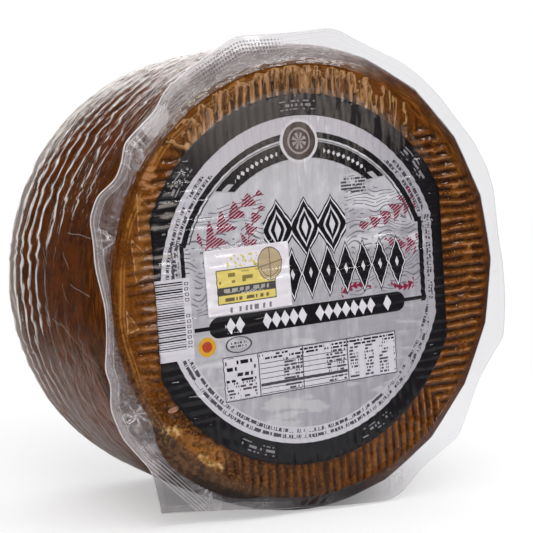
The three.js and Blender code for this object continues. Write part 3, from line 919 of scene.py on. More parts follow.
@dataclass(frozen=True)
class FoilPrint:
    """Offset print on silver-faced paper: a soft metallic ground under glossy inks."""

    silver: str = "#BABBBF"
    pale: str = "#E0E0E4"
    white: str = "#E6E5EA"
    line: str = "#4C4B51"
    black: str = "#17161A"
    crimson: str = "#8E1B42"
    roughness: float = 0.5
    gloss: float = 0.12
    engraved_sprigs: tuple[tuple[float, ...], ...] = (
        (-49, 17, 38, 34, 7.5), (-30, 14, 66, 20, 5.5), (52, 30, 200, 30, 6.0), (53, 10, 168, 17, 5.0),
    )
    small_sprigs: tuple[tuple[float, ...], ...] = ((13, -7, 3, 15, 2.6), (50, -6.5, 176, 12, 2.6))

    def layers(self) -> tuple[Layer, ...]:
        """Gives the print's fields of colour, placed in the label's own turned millimetres."""
        silver, pale, white, line, black = self.silver, self.pale, self.white, self.line, self.black
        table = box(-44.5, -44, 38.7, -26.3)
        return (
            # marks on the black ring, then the silver field, streaked and banded with painted highlights and
            # shade, with painted light towards the top and painted shade towards the lower right
            Layer("(abs(q - 71.3) < 1.9) * (abs(x) < 62) * ring_marks", "#8B8A90"),
            *within("(q < 67) * (x > -65.5) * (x < 61)", ("1", silver), ("ramp(n, 0.5, 0.7) * 0.6", pale),
                    ("(1 - ramp(n, 0.3, 0.48)) * 0.35", "#8E8D96"), ("ramp(x - z, -40, 90) * 0.5", "#8E8D96"),
                    ("ramp(z, 5, 40) * 0.35", "#E6E7EA"),
                    ("ramp(x, 0, 30) * ramp(z, 0, 15) * ramp(sheen, 0.5, 0.6) * 0.7", "#E9EAED"),
                    ("ramp(x, 0, 30) * ramp(z, 0, 15) * (1 - ramp(sheen, 0.38, 0.46)) * 0.4", "#85868D"),
                    ("(1 - ramp(z, -25, -5)) * ramp(sheen, 0.54, 0.62) * 0.4", "#DDDDDC")),
            Layer("(q < 58) * (x > -58.4) * (x < 53.7) * (z > -9) * hatch", "#77757D"),
            # two rings of small marks on a paler band, darker to the right as painted shade, and an upright
            # row of them at each side
            *within("(q < 67) * (q > 60.4) * (x < 61)", ("1", "#CECDD3"),
                    ("ramp(x, 15, 50) * 0.6", "#9B9AA0"),
                    ("(min(abs(q - 61.9), abs(q - 64.3)) < 0.75) * (x < 57) * (z < 46) * arc_marks", line)),
            Layer("(abs(x - 59) < 1.4) * (z > -15) * (z < 22) * upright_marks", line),
            Layer("(abs(x + 62.6) < 1.6) * (z > 8) * (z < 22) * upright_marks", line),
            # sprigs, four of them engraved with slanting lines
            *within("engraved", *((sprig(*place), self.crimson) for place in self.engraved_sprigs)),
            *(Layer(sprig(*place), self.crimson) for place in self.small_sprigs),
            # the black outline of the field, the arch with its beads and the rosette over them
            Layer("(abs(q - 59.2) < 1.2) * (z > 19)", black),
            *(Layer(place, black) for place in (box(-60.1, 7, -58.3, 21), box(53.7, -15.3, 56, 21))),
            Layer("(abs(q - 56.9) < 0.3) * (z > 20)", line),
            Layer("(abs(q - 53.2) < 3.7) * (z > 34.5 + 0.12 * abs(x + 2.5))", silver),
            Layer("(abs(q - 53.2) < 3.3) * (z > 35 + 0.12 * abs(x + 2.5) + 3 * (abs(q - 53.2) < 1))", black),
            Layer("(abs(q - 53.2) < 1.0) * (abs(abs(x + 2.5) - 21) < 10) * (z > 20) * beads", pale),
            *within("hub < 8.9", ("1", pale), ("hub < 7.7", "#4C403E"), ("abs(hub - 5) < 0.4", "#A79F9C"),
                    ("(hub < 3.4) * (abs(fract(petal) - 0.5) < 0.3)", "#A79F9C")),
            # two rows of lozenges and the black bar with its own
            *(Layer(f"first_row < {size}", ink) for size, ink in ((1.2, black), (1.1, white), (1.0, black))),
            *(Layer(place, pale) for place in ("abs(first_row - 0.62) < 0.07", "first_row < 0.3")),
            *(Layer(f"second_row < {size}", ink)
              for size, ink in ((1.2, black), (1.09, white), (0.97, black), (0.24, pale))),
            Layer(box(-56.3, -14.5, 56.3, -12.9), black),
            *within("abs(z + 13.9) < 4.2", ("bar < 17.6", black), ("bar_marks", white)),
            # random bars with a column of small rings beside them
            Layer(box(-71.6, -24.5, -56.9, 7.5), "#D8D7DD"),
            *within(box(-71.6, -20.5, -60, 6.3),
                    ("abs(fract(z / 0.94) - 0.5) < 0.08 + 0.3 * chance(floor(z / 0.94))", black)),
            Layer("(z > -20) * (z < 6) * small_rings", line),
            # two plain discs on each other, and an oval
            Layer("discs < 3.9", "#D9A62E"),
            Layer("discs < 2.2", "#B4452F"),
            Layer("abs(oval - 1) < 0.07", line),
            Layer("(oval < 0.7) * (abs(z + 21.7) < 1.2) * fine_marks", line),
            # the table, ruled and filled with rows of marks
            Layer(table, "#D9D8DE"),
            Layer(frame_line(-44.5, -44, 38.7, -26.3, 0.22), line),
            *(Layer(f"{place} * {marks}", ink) for place, marks, ink in (
                (box(-43.8, -36.5, -30, -26.8), "bold_marks", black),
                (box(-43.8, -43.6, -30, -36.5), "fine_marks", line),
                (box(-28, -29.6, 38, -26.6), "fine_marks", black),
                (box(-28, -43.6, 13, -29.6), "fine_marks * (fract((x + 28.5) / 21) > 0.55)", line),
                (box(15, -43, 38, -30), "fine_marks * (fract((x - 15) / 7.5) < 0.62)", line),
                (box(-28, -43.6, 13.6, -29.8), "(abs(fract((z + 29.9) / 2.05) - 0.5) < 0.07)", line),
                (box(-28, -40.2, 13.6, -39.1), "1", line),
            )),
            *within(table, *((f"abs(x - {place}) < 0.25", line) for place in (-28.5, -7.5, 14))),
            Layer(f"{box(16, 34, 28, 41)} * fine_marks", line),
        )

    def masks(self) -> dict[str, str]:
        """Gives the formulas that the layers name, with q out from the label's middle and a round it.

        Words and lines are rows of random marks with gaps between groups of them. They are drawn coarser
        than print of that size is, so that they show.
        """
        words = "(chance(floor({0} / 0.4) + {1}) > 0.4) * (chance(floor({0} / {2}) + {1} + 7) > 0.15)"
        lines = (
            "(abs(fract(z / {2}) - 0.5) < 0.3) * (chance(floor(x / {0}) + floor(z / {2}) * 57) > {3}) "
            "* (chance(floor(x / {1}) + floor(z / {2}) * 31 + 7) > 0.15)"
        )
        return {
            "fine_marks": lines.format(0.5, 2.9, 1.35, 0.28),
            "bold_marks": lines.format(0.9, 7.7, 2.5, 0.4),
            "arc_marks": words.format("a", "floor(q / 2.4) * 91", 4.1),
            "upright_marks": words.format("z", "floor(x / 1.4) * 43", 3.6)
            + " * (abs(fract(x / 1.4) - 0.5) < 0.32)",
            "ring_marks": "(abs(fract(a / 56.2 + 0.5) - 0.5) < 0.13) * (abs(fract(q / 1.9) - 0.5) < 0.28) "
            "* (chance(floor(a / 0.8) + floor(q / 1.9) * 13) > 0.5)",
            "hatch": "(abs(fract(z / 2 + bend * 7) - 0.5) < 0.12) * (abs(x + 2) > 19) "
            "* (z < 42 - 0.2 * abs(x)) * (gap > 0.46)",
            "engraved": "abs(fract((x * 0.6 - z) / 1.3) - 0.5) > 0.15",
            "beads": "abs(fract(a / 2.9) - 0.5) + abs(q - 53.2) * 0.35 < 0.36",
            "hub": "sqrt((x + 2.8) ** 2 + (z - 57) ** 2)",
            "petal": "atan2(x + 2.8, z - 57) / 6.2832 * 8",
            "first_row": "abs(fract((x + 22) / 13) - 0.5) ** 0.8 * 1.7 + (abs(z - 22) / 11) ** 1.3 "
            "+ (abs(x + 2.5) > 19.5) * 9",
            "second_row": "abs(fract((x + 14) / 8.6) - 0.5) * 2.15 + abs(z - 3.2) / 9.5 "
            "+ (abs(x - 16.1) > 30.1) * 9",
            "bar": "max(abs(x + 2.5) - 43, 0) ** 2 + (z + 13.9) ** 2",
            "bar_marks": "(abs(x + 2.5) < 40) "
            "* (abs(fract(x / 4.2) - 0.5) * 2.1 + abs(z + 13.9) / 3.1 < 1.08) "
            "* (chance(floor(x / 4.2) + 5) > 0.12)",
            "small_rings": "(abs(max(abs(x + 58.4) / 0.85, abs(fract(z / 2.1) - 0.5) / 0.3) - 0.8) < 0.2) "
            "* (chance(floor(z / 2.1)) > 0.1)",
            "discs": "sqrt((x + 51.2) ** 2 + (z + 20.8) ** 2)",
            "oval": "sqrt(((x + 37) / 5.7) ** 2 + ((z + 21.7) / 3.1) ** 2)",
        }

    def make(self, form: WheelForm) -> bpy.types.Material:
        """Makes the material.

        Args:
            form: the wheel that the label lies on.

        Returns:
            The material.
        """
        material, shader = new_material("printed silver paper")
        tree = material.node_tree
        at = WheelCoordinates(tree, form)
        values = at.spun(LabelForm.turn)
        values |= {
            "q": formula(tree, "sqrt((x + 2.5) ** 2 + (z - 0.2) ** 2)", **values),
            "a": formula(tree, "atan2(x + 2.5, z) * 62", **values),
        } | at.noises(n=(5, 2, (1, 1, 3)), sheen=(6, 2, (4, 1, 1)), bend=(14, 1), gap=(4, 1))
        values |= {name: formula(tree, text, **values) for name, text in self.masks().items()}
        tree.links.new(paint(tree, self.black, self.layers(), **values), shader.inputs["Base Color"])
        shader.inputs["Roughness"].default_value = self.roughness
        shader.inputs["Specular IOR Level"].default_value = self.gloss
        return material


@dataclass(frozen=True)
class StickerPrint:
    """Uncoated white sticker paper with a yellow panel and a beige disc."""

    paper: str = "#EFEDF1"
    ink: str = "#3B3A36"
    ruling: str = "#8A7A58"
    roughness: float = 0.55

    def layers(self) -> tuple[Layer, ...]:
        """Gives the print's fields of colour, placed in the sticker's own turned millimetres."""
        marks = "(chance(floor(x / {0}) + floor(z / {1}) * 57) > {2})"
        return (
            # loose flecks over a framed yellow panel with a dark band
            Layer(f"{box(-40, 9.3, -26, 14.5)} * (specks > 0.56)", "#DCCB5E"),
            Layer(f"{box(-40, 9.3, -26, 13.5)} * (specks > 0.66)", "#8E9A5A"),
            Layer(box(-45.3, -4.7, -18.4, 9.1), self.ink),
            Layer(box(-44.9, -4.3, -18.8, 8.7), "#EAD877"),
            Layer(box(-44.9, -1.1, -18.8, 2.1), "#4A4744"),
            # rows of random marks, the last below the panel
            *(Layer(f"{place} * {marks.format(*sizes)}", colour) for place, sizes, colour in (
                (box(-44, 3.5, -19.5, 7.8), (1.6, 1.5, 0.72), "#8D7C3A"),
                (box(-43, -0.3, -20, 1.4), (0.9, 9, 0.45), "#B9B6B0"),
                (box(-42, -3.6, -22, -2.2), (0.7, 9, 0.4), "#6E6238"),
                (box(-41, -8.2, -21, -6.1), (1.0, 9, 0.45), "#7F7D80"),
            )),
            # the beige disc over the panel's corner
            Layer("disc < 1", self.ink),
            *within("disc < 0.9", ("1", "#C3B08C"), ("(abs(disc - 0.55) < 0.05) * (z < 8)", self.ruling),
                    ("min(abs(x + 20.4), abs(z - 9.2 - (x + 20.4) * 0.2)) < 0.25", self.ruling)),
        )

    def make(self, form: WheelForm) -> bpy.types.Material:
        """Makes the material.

        Args:
            form: the wheel that the sticker lies on.

        Returns:
            The material.
        """
        material, shader = new_material("sticker paper")
        tree = material.node_tree
        at = WheelCoordinates(tree, form)
        values = at.spun(StickerForm.turn)
        values["disc"] = formula(tree, "((x + 20.4) / 5.7) ** 2 + ((z - 9.2) / 6.8) ** 2", **values)
        values["specks"] = at.noise(1.6, 2)
        tree.links.new(paint(tree, self.paper, self.layers(), **values), shader.inputs["Base Color"])
        shader.inputs["Roughness"].default_value = self.roughness
        return material


@dataclass(frozen=True)
class VacuumFilm:
    """Clear polyamide and polyethylene vacuum film: see-through, glossy, clouded where it is loose or folded,
    and pale where its highlights and sheen are painted.

    Its texts are formulas: the terms of its clouding, many of them painted highlights and sheen, its fine
    crinkles, where it is matt or lies over shade and darkens what lies behind, which paints that shade, and
    where it is calm and shines less.
    """

    name: str
    haze: tuple[str, ...]
    crinkle: str
    dull: str = "0"
    calm: str = "0"
    clear: str = "#FBF9FA"
    shadow: str = "#8E8A8C"
    milk: str = "#DCD2D6"
    gloss_roughness: float = 0.06
    milk_roughness: float = 0.3
    mirror: float = 0.045
    crinkle_depth: float = 0.05
    stars: tuple[tuple[float, float], ...] = ()
    creases: tuple[tuple[float, float, float, float, float], ...] = ()

    def patterns(self, at: WheelCoordinates) -> dict[str, object]:
        """Gives what the formulas name: numbers of the mesh, places, noises, crumpled stars and long creases.

        Args:
            at: the wheel's coordinates.

        Returns:
            The sockets and numbers by their names.
        """
        values = at.noises(
            grain=(0.7, 1), streak=(2.2, 2, (1, 1, 7)), run=(3, 2, (5, 1, 1)), lump=(6, 2), fine=(1.8, 2),
        )
        values |= {name: at.attribute(name) for name in ("groove", "band", "edge", "arc", "crumple")}
        values |= {
            "slit": at.side_noise(6, 1.6), "dash": at.side_noise(7, 1.6),
            "a": at.value("atan2(x, z) * mean", mean=at.MEAN_RADIUS),
            "west": at.value("1 - ramp(x, -22, 18)"),
            "left": at.value("ramp(c, -0.3, 0.7)", c=at.towards(180)),
            "slant": at.value("(x - 0.585 * (d - 2.6)) * 0.68 + (z + 0.07 * (d - 2.6)) * 0.733 + 102.4"),
            "star": 0.0, "creases": 0.0,
        }
        for centre in self.stars:
            centre = dict(zip(("cx", "cz"), centre))
            away = at.value("(x - cx) ** 2 + (z - cz) ** 2", **centre)
            turns = "fract(atan2(z - cz, x - cx) * 1.12 + (lump - 0.5) * 2.6)"
            rays = at.value(turns, lump=values["lump"], **centre)
            values["star"] = at.value(
                "max(before, max(exp(-1 * away / 30) * (1 - ramp(abs(rays - 0.5), 0.02, 0.28)) "
                "* ramp(fine, 0.3, 0.6), 0.6 * exp(-1 * away / 2)))",
                before=values["star"], away=away, rays=rays, fine=values["fine"],
            )
        for crease in self.creases:
            text = "before + " + crease_line(*crease)
            values["creases"] = at.value(text, before=values["creases"], a=values["a"])
        return values

    def make(self, form: WheelForm) -> bpy.types.Material:
        """Makes the material.

        Args:
            form: the wheel that is packed in it.

        Returns:
            The material.
        """
        material, shader = new_material(self.name)
        tree = material.node_tree
        at = WheelCoordinates(tree, form)
        values = self.patterns(at)
        milk_and_sheen = at.value(" + ".join(self.haze), **values)
        height = at.value(self.crinkle, **values)
        links = {"Height": height, "Distance": self.crinkle_depth * MM, "Strength": 1.0}
        normal = add_node(tree, "ShaderNodeBump", {}, links).outputs[0]
        through = paint(tree, self.clear, (Layer(self.dull, self.shadow),), **at.named, **values)
        clear = add_node(tree, "ShaderNodeBsdfTransparent", {}, {0: through}).outputs[0]
        links = {"Blend": 0.5, "Normal": normal}
        facing = add_node(tree, "ShaderNodeLayerWeight", {}, links).outputs["Facing"]
        mirror = formula(
            tree, "(face_on + (1 - face_on) * away ** 5) * (1 - calm)", face_on=self.mirror, away=facing,
            calm=at.value(self.calm, **values),
        )
        links = {"Roughness": self.gloss_roughness, "Normal": normal}
        gloss = add_node(tree, "ShaderNodeBsdfAnisotropic", {}, links).outputs[0]
        shiny = add_node(tree, "ShaderNodeMixShader", {}, {0: mirror, 1: clear, 2: gloss}).outputs[0]
        shader.inputs["Base Color"].default_value = linear(self.milk)
        shader.inputs["Roughness"].default_value = self.milk_roughness
        tree.links.new(normal, shader.inputs["Normal"])
        links = {0: milk_and_sheen, 1: shiny, 2: shader.outputs[0]}
        whole = add_node(tree, "ShaderNodeMixShader", {}, links).outputs[0]
        tree.links.new(whole, tree.nodes["Material Output"].inputs["Surface"])
        return material


@dataclass
class CheeseWheel:
    """The pressed wheel, one closed rind."""

    form: WheelForm

    def build(self) -> bpy.types.Object:
        """Builds the rind and dresses it."""
        rind = patch_mesh("rind", self.form.skin_patches())
        relief = PressedRelief(self.form, "of the rind")
        grow(rind, relief.tree, {"Material": CheeseRind().make(self.form)})
        hand_over(rind, "cheese_wheel")
        return rind


@dataclass
class ClingingFilm:
    """The film that clings to the wheel, the label and the sticker, and bridges the grooves."""

    form: WheelForm
    creases: tuple[tuple[float, float, float, float, float], ...] = (
        (-132.1, 28.8, -133.3, 8, 0.3), (-151.9, 22, -155.8, 6, 0.3), (-202.3, 39.2, -206.1, 24.5, 0.35),
        (-167.2, 34.8, -184.1, 8, 0.25), (-138.8, 51, -145.6, 45, 0.35), (-140.1, 30.2, -146, 23.5, 0.35),
        (-139.2, 37.2, -143.5, 39, 0.3), (-152.4, 29.5, -159.6, 25.2, 0.25), (-166.8, 42, -169.7, 31, 0.3),
    )

    def haze(self) -> tuple[str, ...]:
        """Gives the terms of the milkiness and of the painted highlights and sheen, which add up."""
        side = "(r > 90) * west"
        rear = "(1 - ramp(d, 93, 99))"
        return (
            "0.002",
            # painted sheen over the ridges at the top and over the label below them, and painted highlights
            # on the crests to the left of it
            "0.025 * (d < 3) * (r < 86) * ramp(z - 0.0031 * (x + 12) ** 2, 42, 54) * (1 - ramp(x, 5, 55))",
            "(d < 3) * (r < 78) * ramp(z - 0.2 * abs(x + 12), 20, 60) "
            "* (0.5 + 0.5 * ramp(groove, 0.02, 0.2)) "
            "* (0.105 - 0.105 * ramp(streak, 0.5, 0.54) * ramp(x, -25, 5))",
            "0.3 * (d < 3) * (r < 77) * (1 - ramp(x + 8 * (run - 0.5), -66, -58)) * ramp(z, -40, 14) "
            "* (1 - ramp(z, 46, 60)) * (1 - ramp(groove, 0.05, 0.35)) * ramp(run, 0.4, 0.55)",
            # a painted sheen on the lower side with painted highlights on its bands' crests, and painted
            # highlights along single long creases
            f"(d > 12) * (d < 92) * {side} * (ramp(-1 * z, -5, 60) * (0.02 + 0.08 * ramp(d, 20, 70)) "
            "+ ramp(-1 * z, 0, 30) * (1 - ramp(abs(fract(band) - 0.78), 0.04, 0.13)) "
            "* (0.1 + 0.25 * ramp(d, 25, 60)))",
            f"0.25 * (d < 60) * (d > 4) * {side} * min(creases, 1)",
            # broad bands of painted highlight at the rear, broken by slits, and a painted sheen on the rear
            # edge
            f"(d > 20) * {rear} * {side} * (1 - 0.85 * ramp(slit, 0.54, 0.56)) "
            "* (0.5 * ramp(z, 45, 60) * ramp(d - 75 + 0.038 * (z - 57) ** 2, -10, 10) "
            "+ 0.9 * ramp(d, 54, 72) * (1 - ramp(z, 45, 60)) * ramp(z, -75, -25) "
            "* (1 - ramp(abs(fract(band) - 0.76), 0.22, 0.34)))",
            f"0.42 * {side} * ramp(d, 74, 90) * {rear} * ramp(z, -75, -25)",
            # thin dashes of painted highlight along the crests of the upper side
            f"0.95 * {side} * ramp(d - 62 + 1.5 * z, 0, 12) * ramp(d, 8, 20) * (1 - ramp(d, 60, 72)) "
            "* ramp(z, -5, 8) * ramp(dash, 0.43, 0.47) "
            "* (1 - ramp(abs(fract(band) - 0.76) - 0.0022 * d, 0.0, 0.05))",
            # painted highlights on wrinkles round the top of the front edge
            "(d < 9) * (r > 88) * ramp(z, 45, 75) * (1 - ramp(x, 5, 40)) "
            "* (0.12 + 0.2 * ramp(dash, 0.45, 0.5) + 0.5 * (1 - ramp(abs(dash - 0.52), 0.0, 0.025)))",
        )

    def build(self) -> bpy.types.Object:
        """Builds the film skin and dresses it."""
        skin = patch_mesh("clinging_film", self.form.skin_patches())
        relief = PressedRelief(self.form, "of the clinging film")
        finish = VacuumFilm(
            "clinging vacuum film", self.haze(),
            "fine * 0.3 + lump * 0.7 + (r > 85.5) * dash * (1 + 5 * ramp(z, -10, 50)) "
            "+ (d < 3) * (r > 76) * fine * 1.5",
            calm="(r > 90) * (d > 6) * ramp(slit, 0.54, 0.58) * 0.85 "
            "+ (d < 14) * (r > 87) * ramp(x, 0, 30) * ramp(-1 * z, -10, 25) * 0.85 "
            "+ 0.4 * (d < 3) * (r > 76) * (r < 87) * (1 - ramp(x, 20, 45))",
            milk="#DCD0C8", creases=self.creases,
        )
        sizes = {
            "Ridge depth": 0.55, "Cover": 0.95, "Sticker cover": 0.75, "Root bead": 0.15,
            "Stand off": 0.22, "Floor": 0.0,
        }
        grow(skin, relief.tree, sizes | {"Material": finish.make(self.form)})
        hand_over(skin, "cheese_wheel")
        return skin


@dataclass
class FaceLabel:
    """The printed label, a sheet that sags into the grooves."""

    form: WheelForm
    shape: LabelForm = field(default_factory=LabelForm)
    line_gap: float = 0.6
    rows: int = 20

    def reach(self, x: np.ndarray, z: np.ndarray, ahead: np.ndarray) -> np.ndarray:
        """Gives how far the outline is from points, in one direction.

        Args:
            x: distances to the right of the axis.
            z: heights over the axis.
            ahead: the direction as a unit (x, z) vector.

        Returns:
            The distances.
        """
        off = x - self.shape.centre_x
        half = off * ahead[0] + z * ahead[1]
        to_arc = -half + np.sqrt(half**2 - off**2 - z**2 + self.shape.radius**2)
        c, s = math.cos(self.shape.turn), math.sin(self.shape.turn)
        towards = ahead[0] * c + ahead[1] * s
        cut = self.shape.right_cut if towards > 0 else -self.shape.left_cut
        to_cut = (cut - off * c - z * s) / towards
        return np.where(to_cut > 0, np.minimum(to_arc, to_cut), to_arc)

    def build(self) -> bpy.types.Object:
        """Builds the sheet and dresses it."""
        patches = []
        share = np.linspace(0, 1, self.rows + 1)[None, :]
        for sector in Sector:
            ahead, aside = sector.directions(self.form.turn)
            ends = []
            for side in (-1, 1):
                corner = (ahead + side * aside) * math.sqrt(0.5)
                ends.append(float(self.reach(np.zeros(1), np.zeros(1), corner)[0]) * math.sqrt(0.5))
            lines = round(max(ends) / self.line_gap)
            left, right = np.linspace(-ends[0], 0, lines + 1), np.linspace(0, ends[1], lines + 1)
            across = np.concatenate([left, right[1:]])
            lead = np.abs(across)
            start_x = lead * ahead[0] + across * aside[0]
            start_z = lead * ahead[1] + across * aside[1]
            length = self.reach(start_x, start_z, ahead)
            length[0] = length[-1] = 0
            x = start_x[:, None] + share * length[:, None] * ahead[0]
            z = start_z[:, None] + share * length[:, None] * ahead[1]
            front = self.form.place(x, self.shape.front, z)
            back = self.form.place(x, self.shape.back, z)
            patches += [front, back[:, ::-1], np.stack([front[:, -1], back[:, -1]], 1)]
        label = patch_mesh("label", patches)
        relief = PressedRelief(self.form, "of the label")
        grow(label, relief.tree, {"Ridge depth": 0.38, "Material": FoilPrint().make(self.form)})
        hand_over(label, "face_label")
        return label


@dataclass
class PaperSticker:
    """The small sticker on the label."""

    form: WheelForm
    shape: StickerForm = field(default_factory=StickerForm)
    grid: float = 0.6

    def build(self) -> bpy.types.Object:
        """Builds the sheet and dresses it."""
        shape = self.shape
        u = np.linspace(-shape.width / 2, shape.width / 2, round(shape.width / self.grid) + 1)[:, None]
        v = np.linspace(-shape.height / 2, shape.height / 2, round(shape.height / self.grid) + 1)[None, :]
        c, s = math.cos(shape.turn), math.sin(shape.turn)
        x = shape.centre[0] + u * c - v * s
        z = shape.centre[1] + u * s + v * c
        front = self.form.place(x, shape.front, z)
        back = self.form.place(x, shape.back, z)
        edges = [
            np.stack([front[0], back[0]]), np.stack([front[-1], back[-1]]),
            np.stack([front[:, 0], back[:, 0]]), np.stack([front[:, -1], back[:, -1]]),
        ]
        sticker = patch_mesh("sticker", [front, back, *edges])
        relief = PressedRelief(self.form, "of the sticker")
        grow(sticker, relief.tree, {"Ridge depth": 0.3, "Material": StickerPrint().make(self.form)})
        hand_over(sticker, "paper_sticker")
        return sticker


@dataclass
class StandingRim:
    """The sealed rim of the film, which stands out all round just behind the labelled face."""

    form: WheelForm
    shape: RimForm = field(default_factory=RimForm)
    columns: int = 900
    rows: int = 26
    depth: float = 2.6
    low_depth: float = 4.6
    low_spread: float = math.radians(13)
    low_lean: float = 0.585
    ruffle: float = 0.9
    ruffles: int = 11
    forward: float = 2.8
    forward_angle: float = math.radians(189)
    forward_spread: float = math.radians(11)
    least_width: float = 1.8
    rounding: float = math.radians(1.5)
    corner: float = math.radians(233)
    corner_spread: float = math.radians(4)
    crumples: tuple[tuple[float, float, float], ...] = (
        (128, 0.6, 3), (148, 0.7, 3), (167, 0.6, 4), (212, 0.5, 4), (241, 0.8, 3), (256, 0.6, 3),
        (275, 0.7, 4), (296, 0.7, 5),
    )
    stars: tuple[tuple[float, float], ...] = ((-45.5, -81.0), (-79.0, -49.5), (-88.0, 18.1), (-74.0, 46.0))
    outline: tuple[tuple[float, float], ...] = (
        (102, 5), (98.4, 23.8), (95.4, 37), (91.3, 47), (84.2, 58.6), (77.2, 65.9), (66.8, 76), (53.9, 85.4),
        (44.4, 91), (28.5, 96.9), (13.6, 102.3), (7.7, 102.8), (-3.8, 101), (-11.4, 99.8), (-19.8, 99),
        (-34.4, 97.5), (-40.7, 93.6), (-55.3, 84.5), (-65.7, 75.5), (-70, 67), (-83, 54.8), (-84.6, 47),
        (-87.3, 41), (-94.7, 34.8), (-97.4, 26.3), (-95.7, 16.7), (-95.3, 7.7), (-92.9, -6.5), (-92.2, -23.8),
        (-92, -31.6), (-89.1, -37.2), (-89.2, -46.8), (-84.7, -58.4), (-72.9, -72.4), (-70.8, -80.3),
        (-68.2, -90.9), (-52, -92), (-33, -92.5), (-10, -94.5), (10, -95.8), (27.8, -96.2), (40.5, -96.6),
        (47.9, -94), (59.1, -84.2), (77, -72.2), (83.6, -58.8), (89.4, -48.2), (96.2, -38.6), (102.6, -29.6),
        (102.6, -10.8),
    )

    @staticmethod
    def apart(angle: np.ndarray, place: float) -> np.ndarray:
        """Gives the shorter way from a place to angles round the axis, in radians."""
        return np.arctan2(np.sin(angle - place), np.cos(angle - place))

    def swell(self, angle: np.ndarray, place: float, spread: float) -> np.ndarray:
        """Gives a smooth swell that is 1 at a place and sinks within its spread to both sides."""
        return np.exp(-((self.apart(angle, place) / spread) ** 2))

    def outer_radius(self, angle: np.ndarray) -> np.ndarray:
        """Radius at which the rim was cut off, by the angle round the axis.

        Args:
            angle: angles in radians.

        Returns:
            Radii in millimetres.
        """
        corners = np.array(self.outline, float)
        share = np.linspace(0, 1, 40, endpoint=False)[None, :, None]
        line = (corners[:, None] * (1 - share) + np.roll(corners, -1, 0)[:, None] * share).reshape(-1, 2)
        turn, length = np.arctan2(line[:, 1], line[:, 0]), np.hypot(*line.T)
        steps = self.rounding * np.linspace(-1.5, 1.5, 13)
        weights = np.exp(-((steps / self.rounding) ** 2))
        radii = sum(
            weight * np.interp(angle + step, turn, length, period=2 * math.pi)
            for step, weight in zip(steps, weights)
        )
        sharp = np.interp(angle, turn, length, period=2 * math.pi)
        near = self.swell(angle, self.corner, self.corner_spread)
        return sharp * near + radii / weights.sum() * (1 - near)

    def haze(self) -> tuple[str, ...]:
        """Gives the terms of the milkiness, with painted light and highlights among them, which add up."""
        return (
            "0.005",
            # loose and creased film at the left and the top, paler at the top as painted light, and whiter
            # along its cut edge and over crumples and stars as painted highlights
            "left * (0.02 + 0.1 * (1 - ramp(edge, 2, 4.5)) + 0.06 * ramp(lump, 0.45, 0.7) "
            "+ 0.08 * ramp(grain, 0.5, 0.6) * (z < -20) * (1 - ramp(edge, 7, 11)))",
            "0.12 * ramp(z, 60, 90) * (1 - ramp(x, 0, 45))",
            "(0.06 + 0.45 * left) * (edge < 0.35)",
            "0.12 * crumple * (1 - ramp(abs(fine - 0.5), 0.0, 0.05))",
            "0.36 * star",
            # the sealing lines, two round the top and one below
            "(0.02 + 0.12 * left) * (abs(abs(edge - 2.4) - 1) < 0.18) * (z > -25)",
            "left * 0.12 * (abs(edge - 3.4) < 0.18) * (z < -25)",
            # the corner at the lower left: lines across it, knurling beside it, clear inside and hazy outside
            "0.24 * (abs(fract(slant / 1.25 + 0.5) - 0.5) < 0.12) * (abs(slant - 2.5) < 3.1) "
            "* (x < -46) * (z < -68)",
            "0.14 * (arc > 366) * (arc < 380) * (edge > 1) * (edge < 6.5) "
            "* max(abs(fract(arc) - 0.5) > 0.36, abs(fract(edge) - 0.5) > 0.36)",
            "-0.1 * left * (slant < -0.6) * (x < -40) * (z < -55)",
            "0.07 * (slant > 5.7) * (x < -40) * ramp(-1 * z, 55, 65) * (0.4 + ramp(run, 0.45, 0.6))",
        )

    def build(self) -> bpy.types.Object:
        """Builds the rim and dresses it."""
        form, shape = self.form, self.shape
        angle = np.linspace(0, 2 * math.pi, self.columns + 1)[:, None]
        near_low = np.clip((np.cos(angle - shape.low_angle) - 0.93) / 0.07, 0, 1)
        swing = shape.root_swing + shape.low_swing * near_low**2 * (3 - 2 * near_low)
        root_radius = form.lip_radius + form.edge_rounding * np.sin(swing)
        root_depth = form.edge_rounding * (1 - np.cos(swing))
        outer = np.maximum(self.outer_radius(angle), root_radius + self.least_width)
        drawn_back = self.low_depth * self.swell(angle, shape.low_angle, self.low_spread)
        outer_depth = (
            self.depth + drawn_back + self.ruffle * np.sin(self.ruffles * angle)
            - self.forward * self.swell(angle, self.forward_angle, self.forward_spread)
        )
        rows = self.rows + 1
        out = np.concatenate([np.linspace(0, 1, rows), np.linspace(1, 0, rows), [0]])[None, :]
        side = np.concatenate([np.full(rows, -0.5), np.full(rows, 0.5), [-0.5]])[None, :]
        radius = root_radius + out * (outer - root_radius)
        depth = root_depth + out**1.1 * (outer_depth - root_depth)
        edge = (1 - out) * (outer - root_radius)
        crumple = np.zeros_like(radius)
        for place, height, spread in self.crumples:
            place, spread = math.radians(place), math.radians(spread)
            bump = self.swell(angle, place, spread) * np.sin(math.pi * out)
            depth = depth + height * bump * np.sin(7 * self.apart(angle, place) / spread + 5 * out)
            crumple = np.maximum(crumple, bump)
        x = radius * np.cos(angle) + out * self.low_lean * drawn_back
        points = form.place(x, depth + side * shape.film, radius * np.sin(angle))
        values = {"edge": [edge], "arc": [angle * form.edge_radius + 0 * edge], "crumple": [crumple]}
        rim = patch_mesh("film_rim_sheet", [points], values)
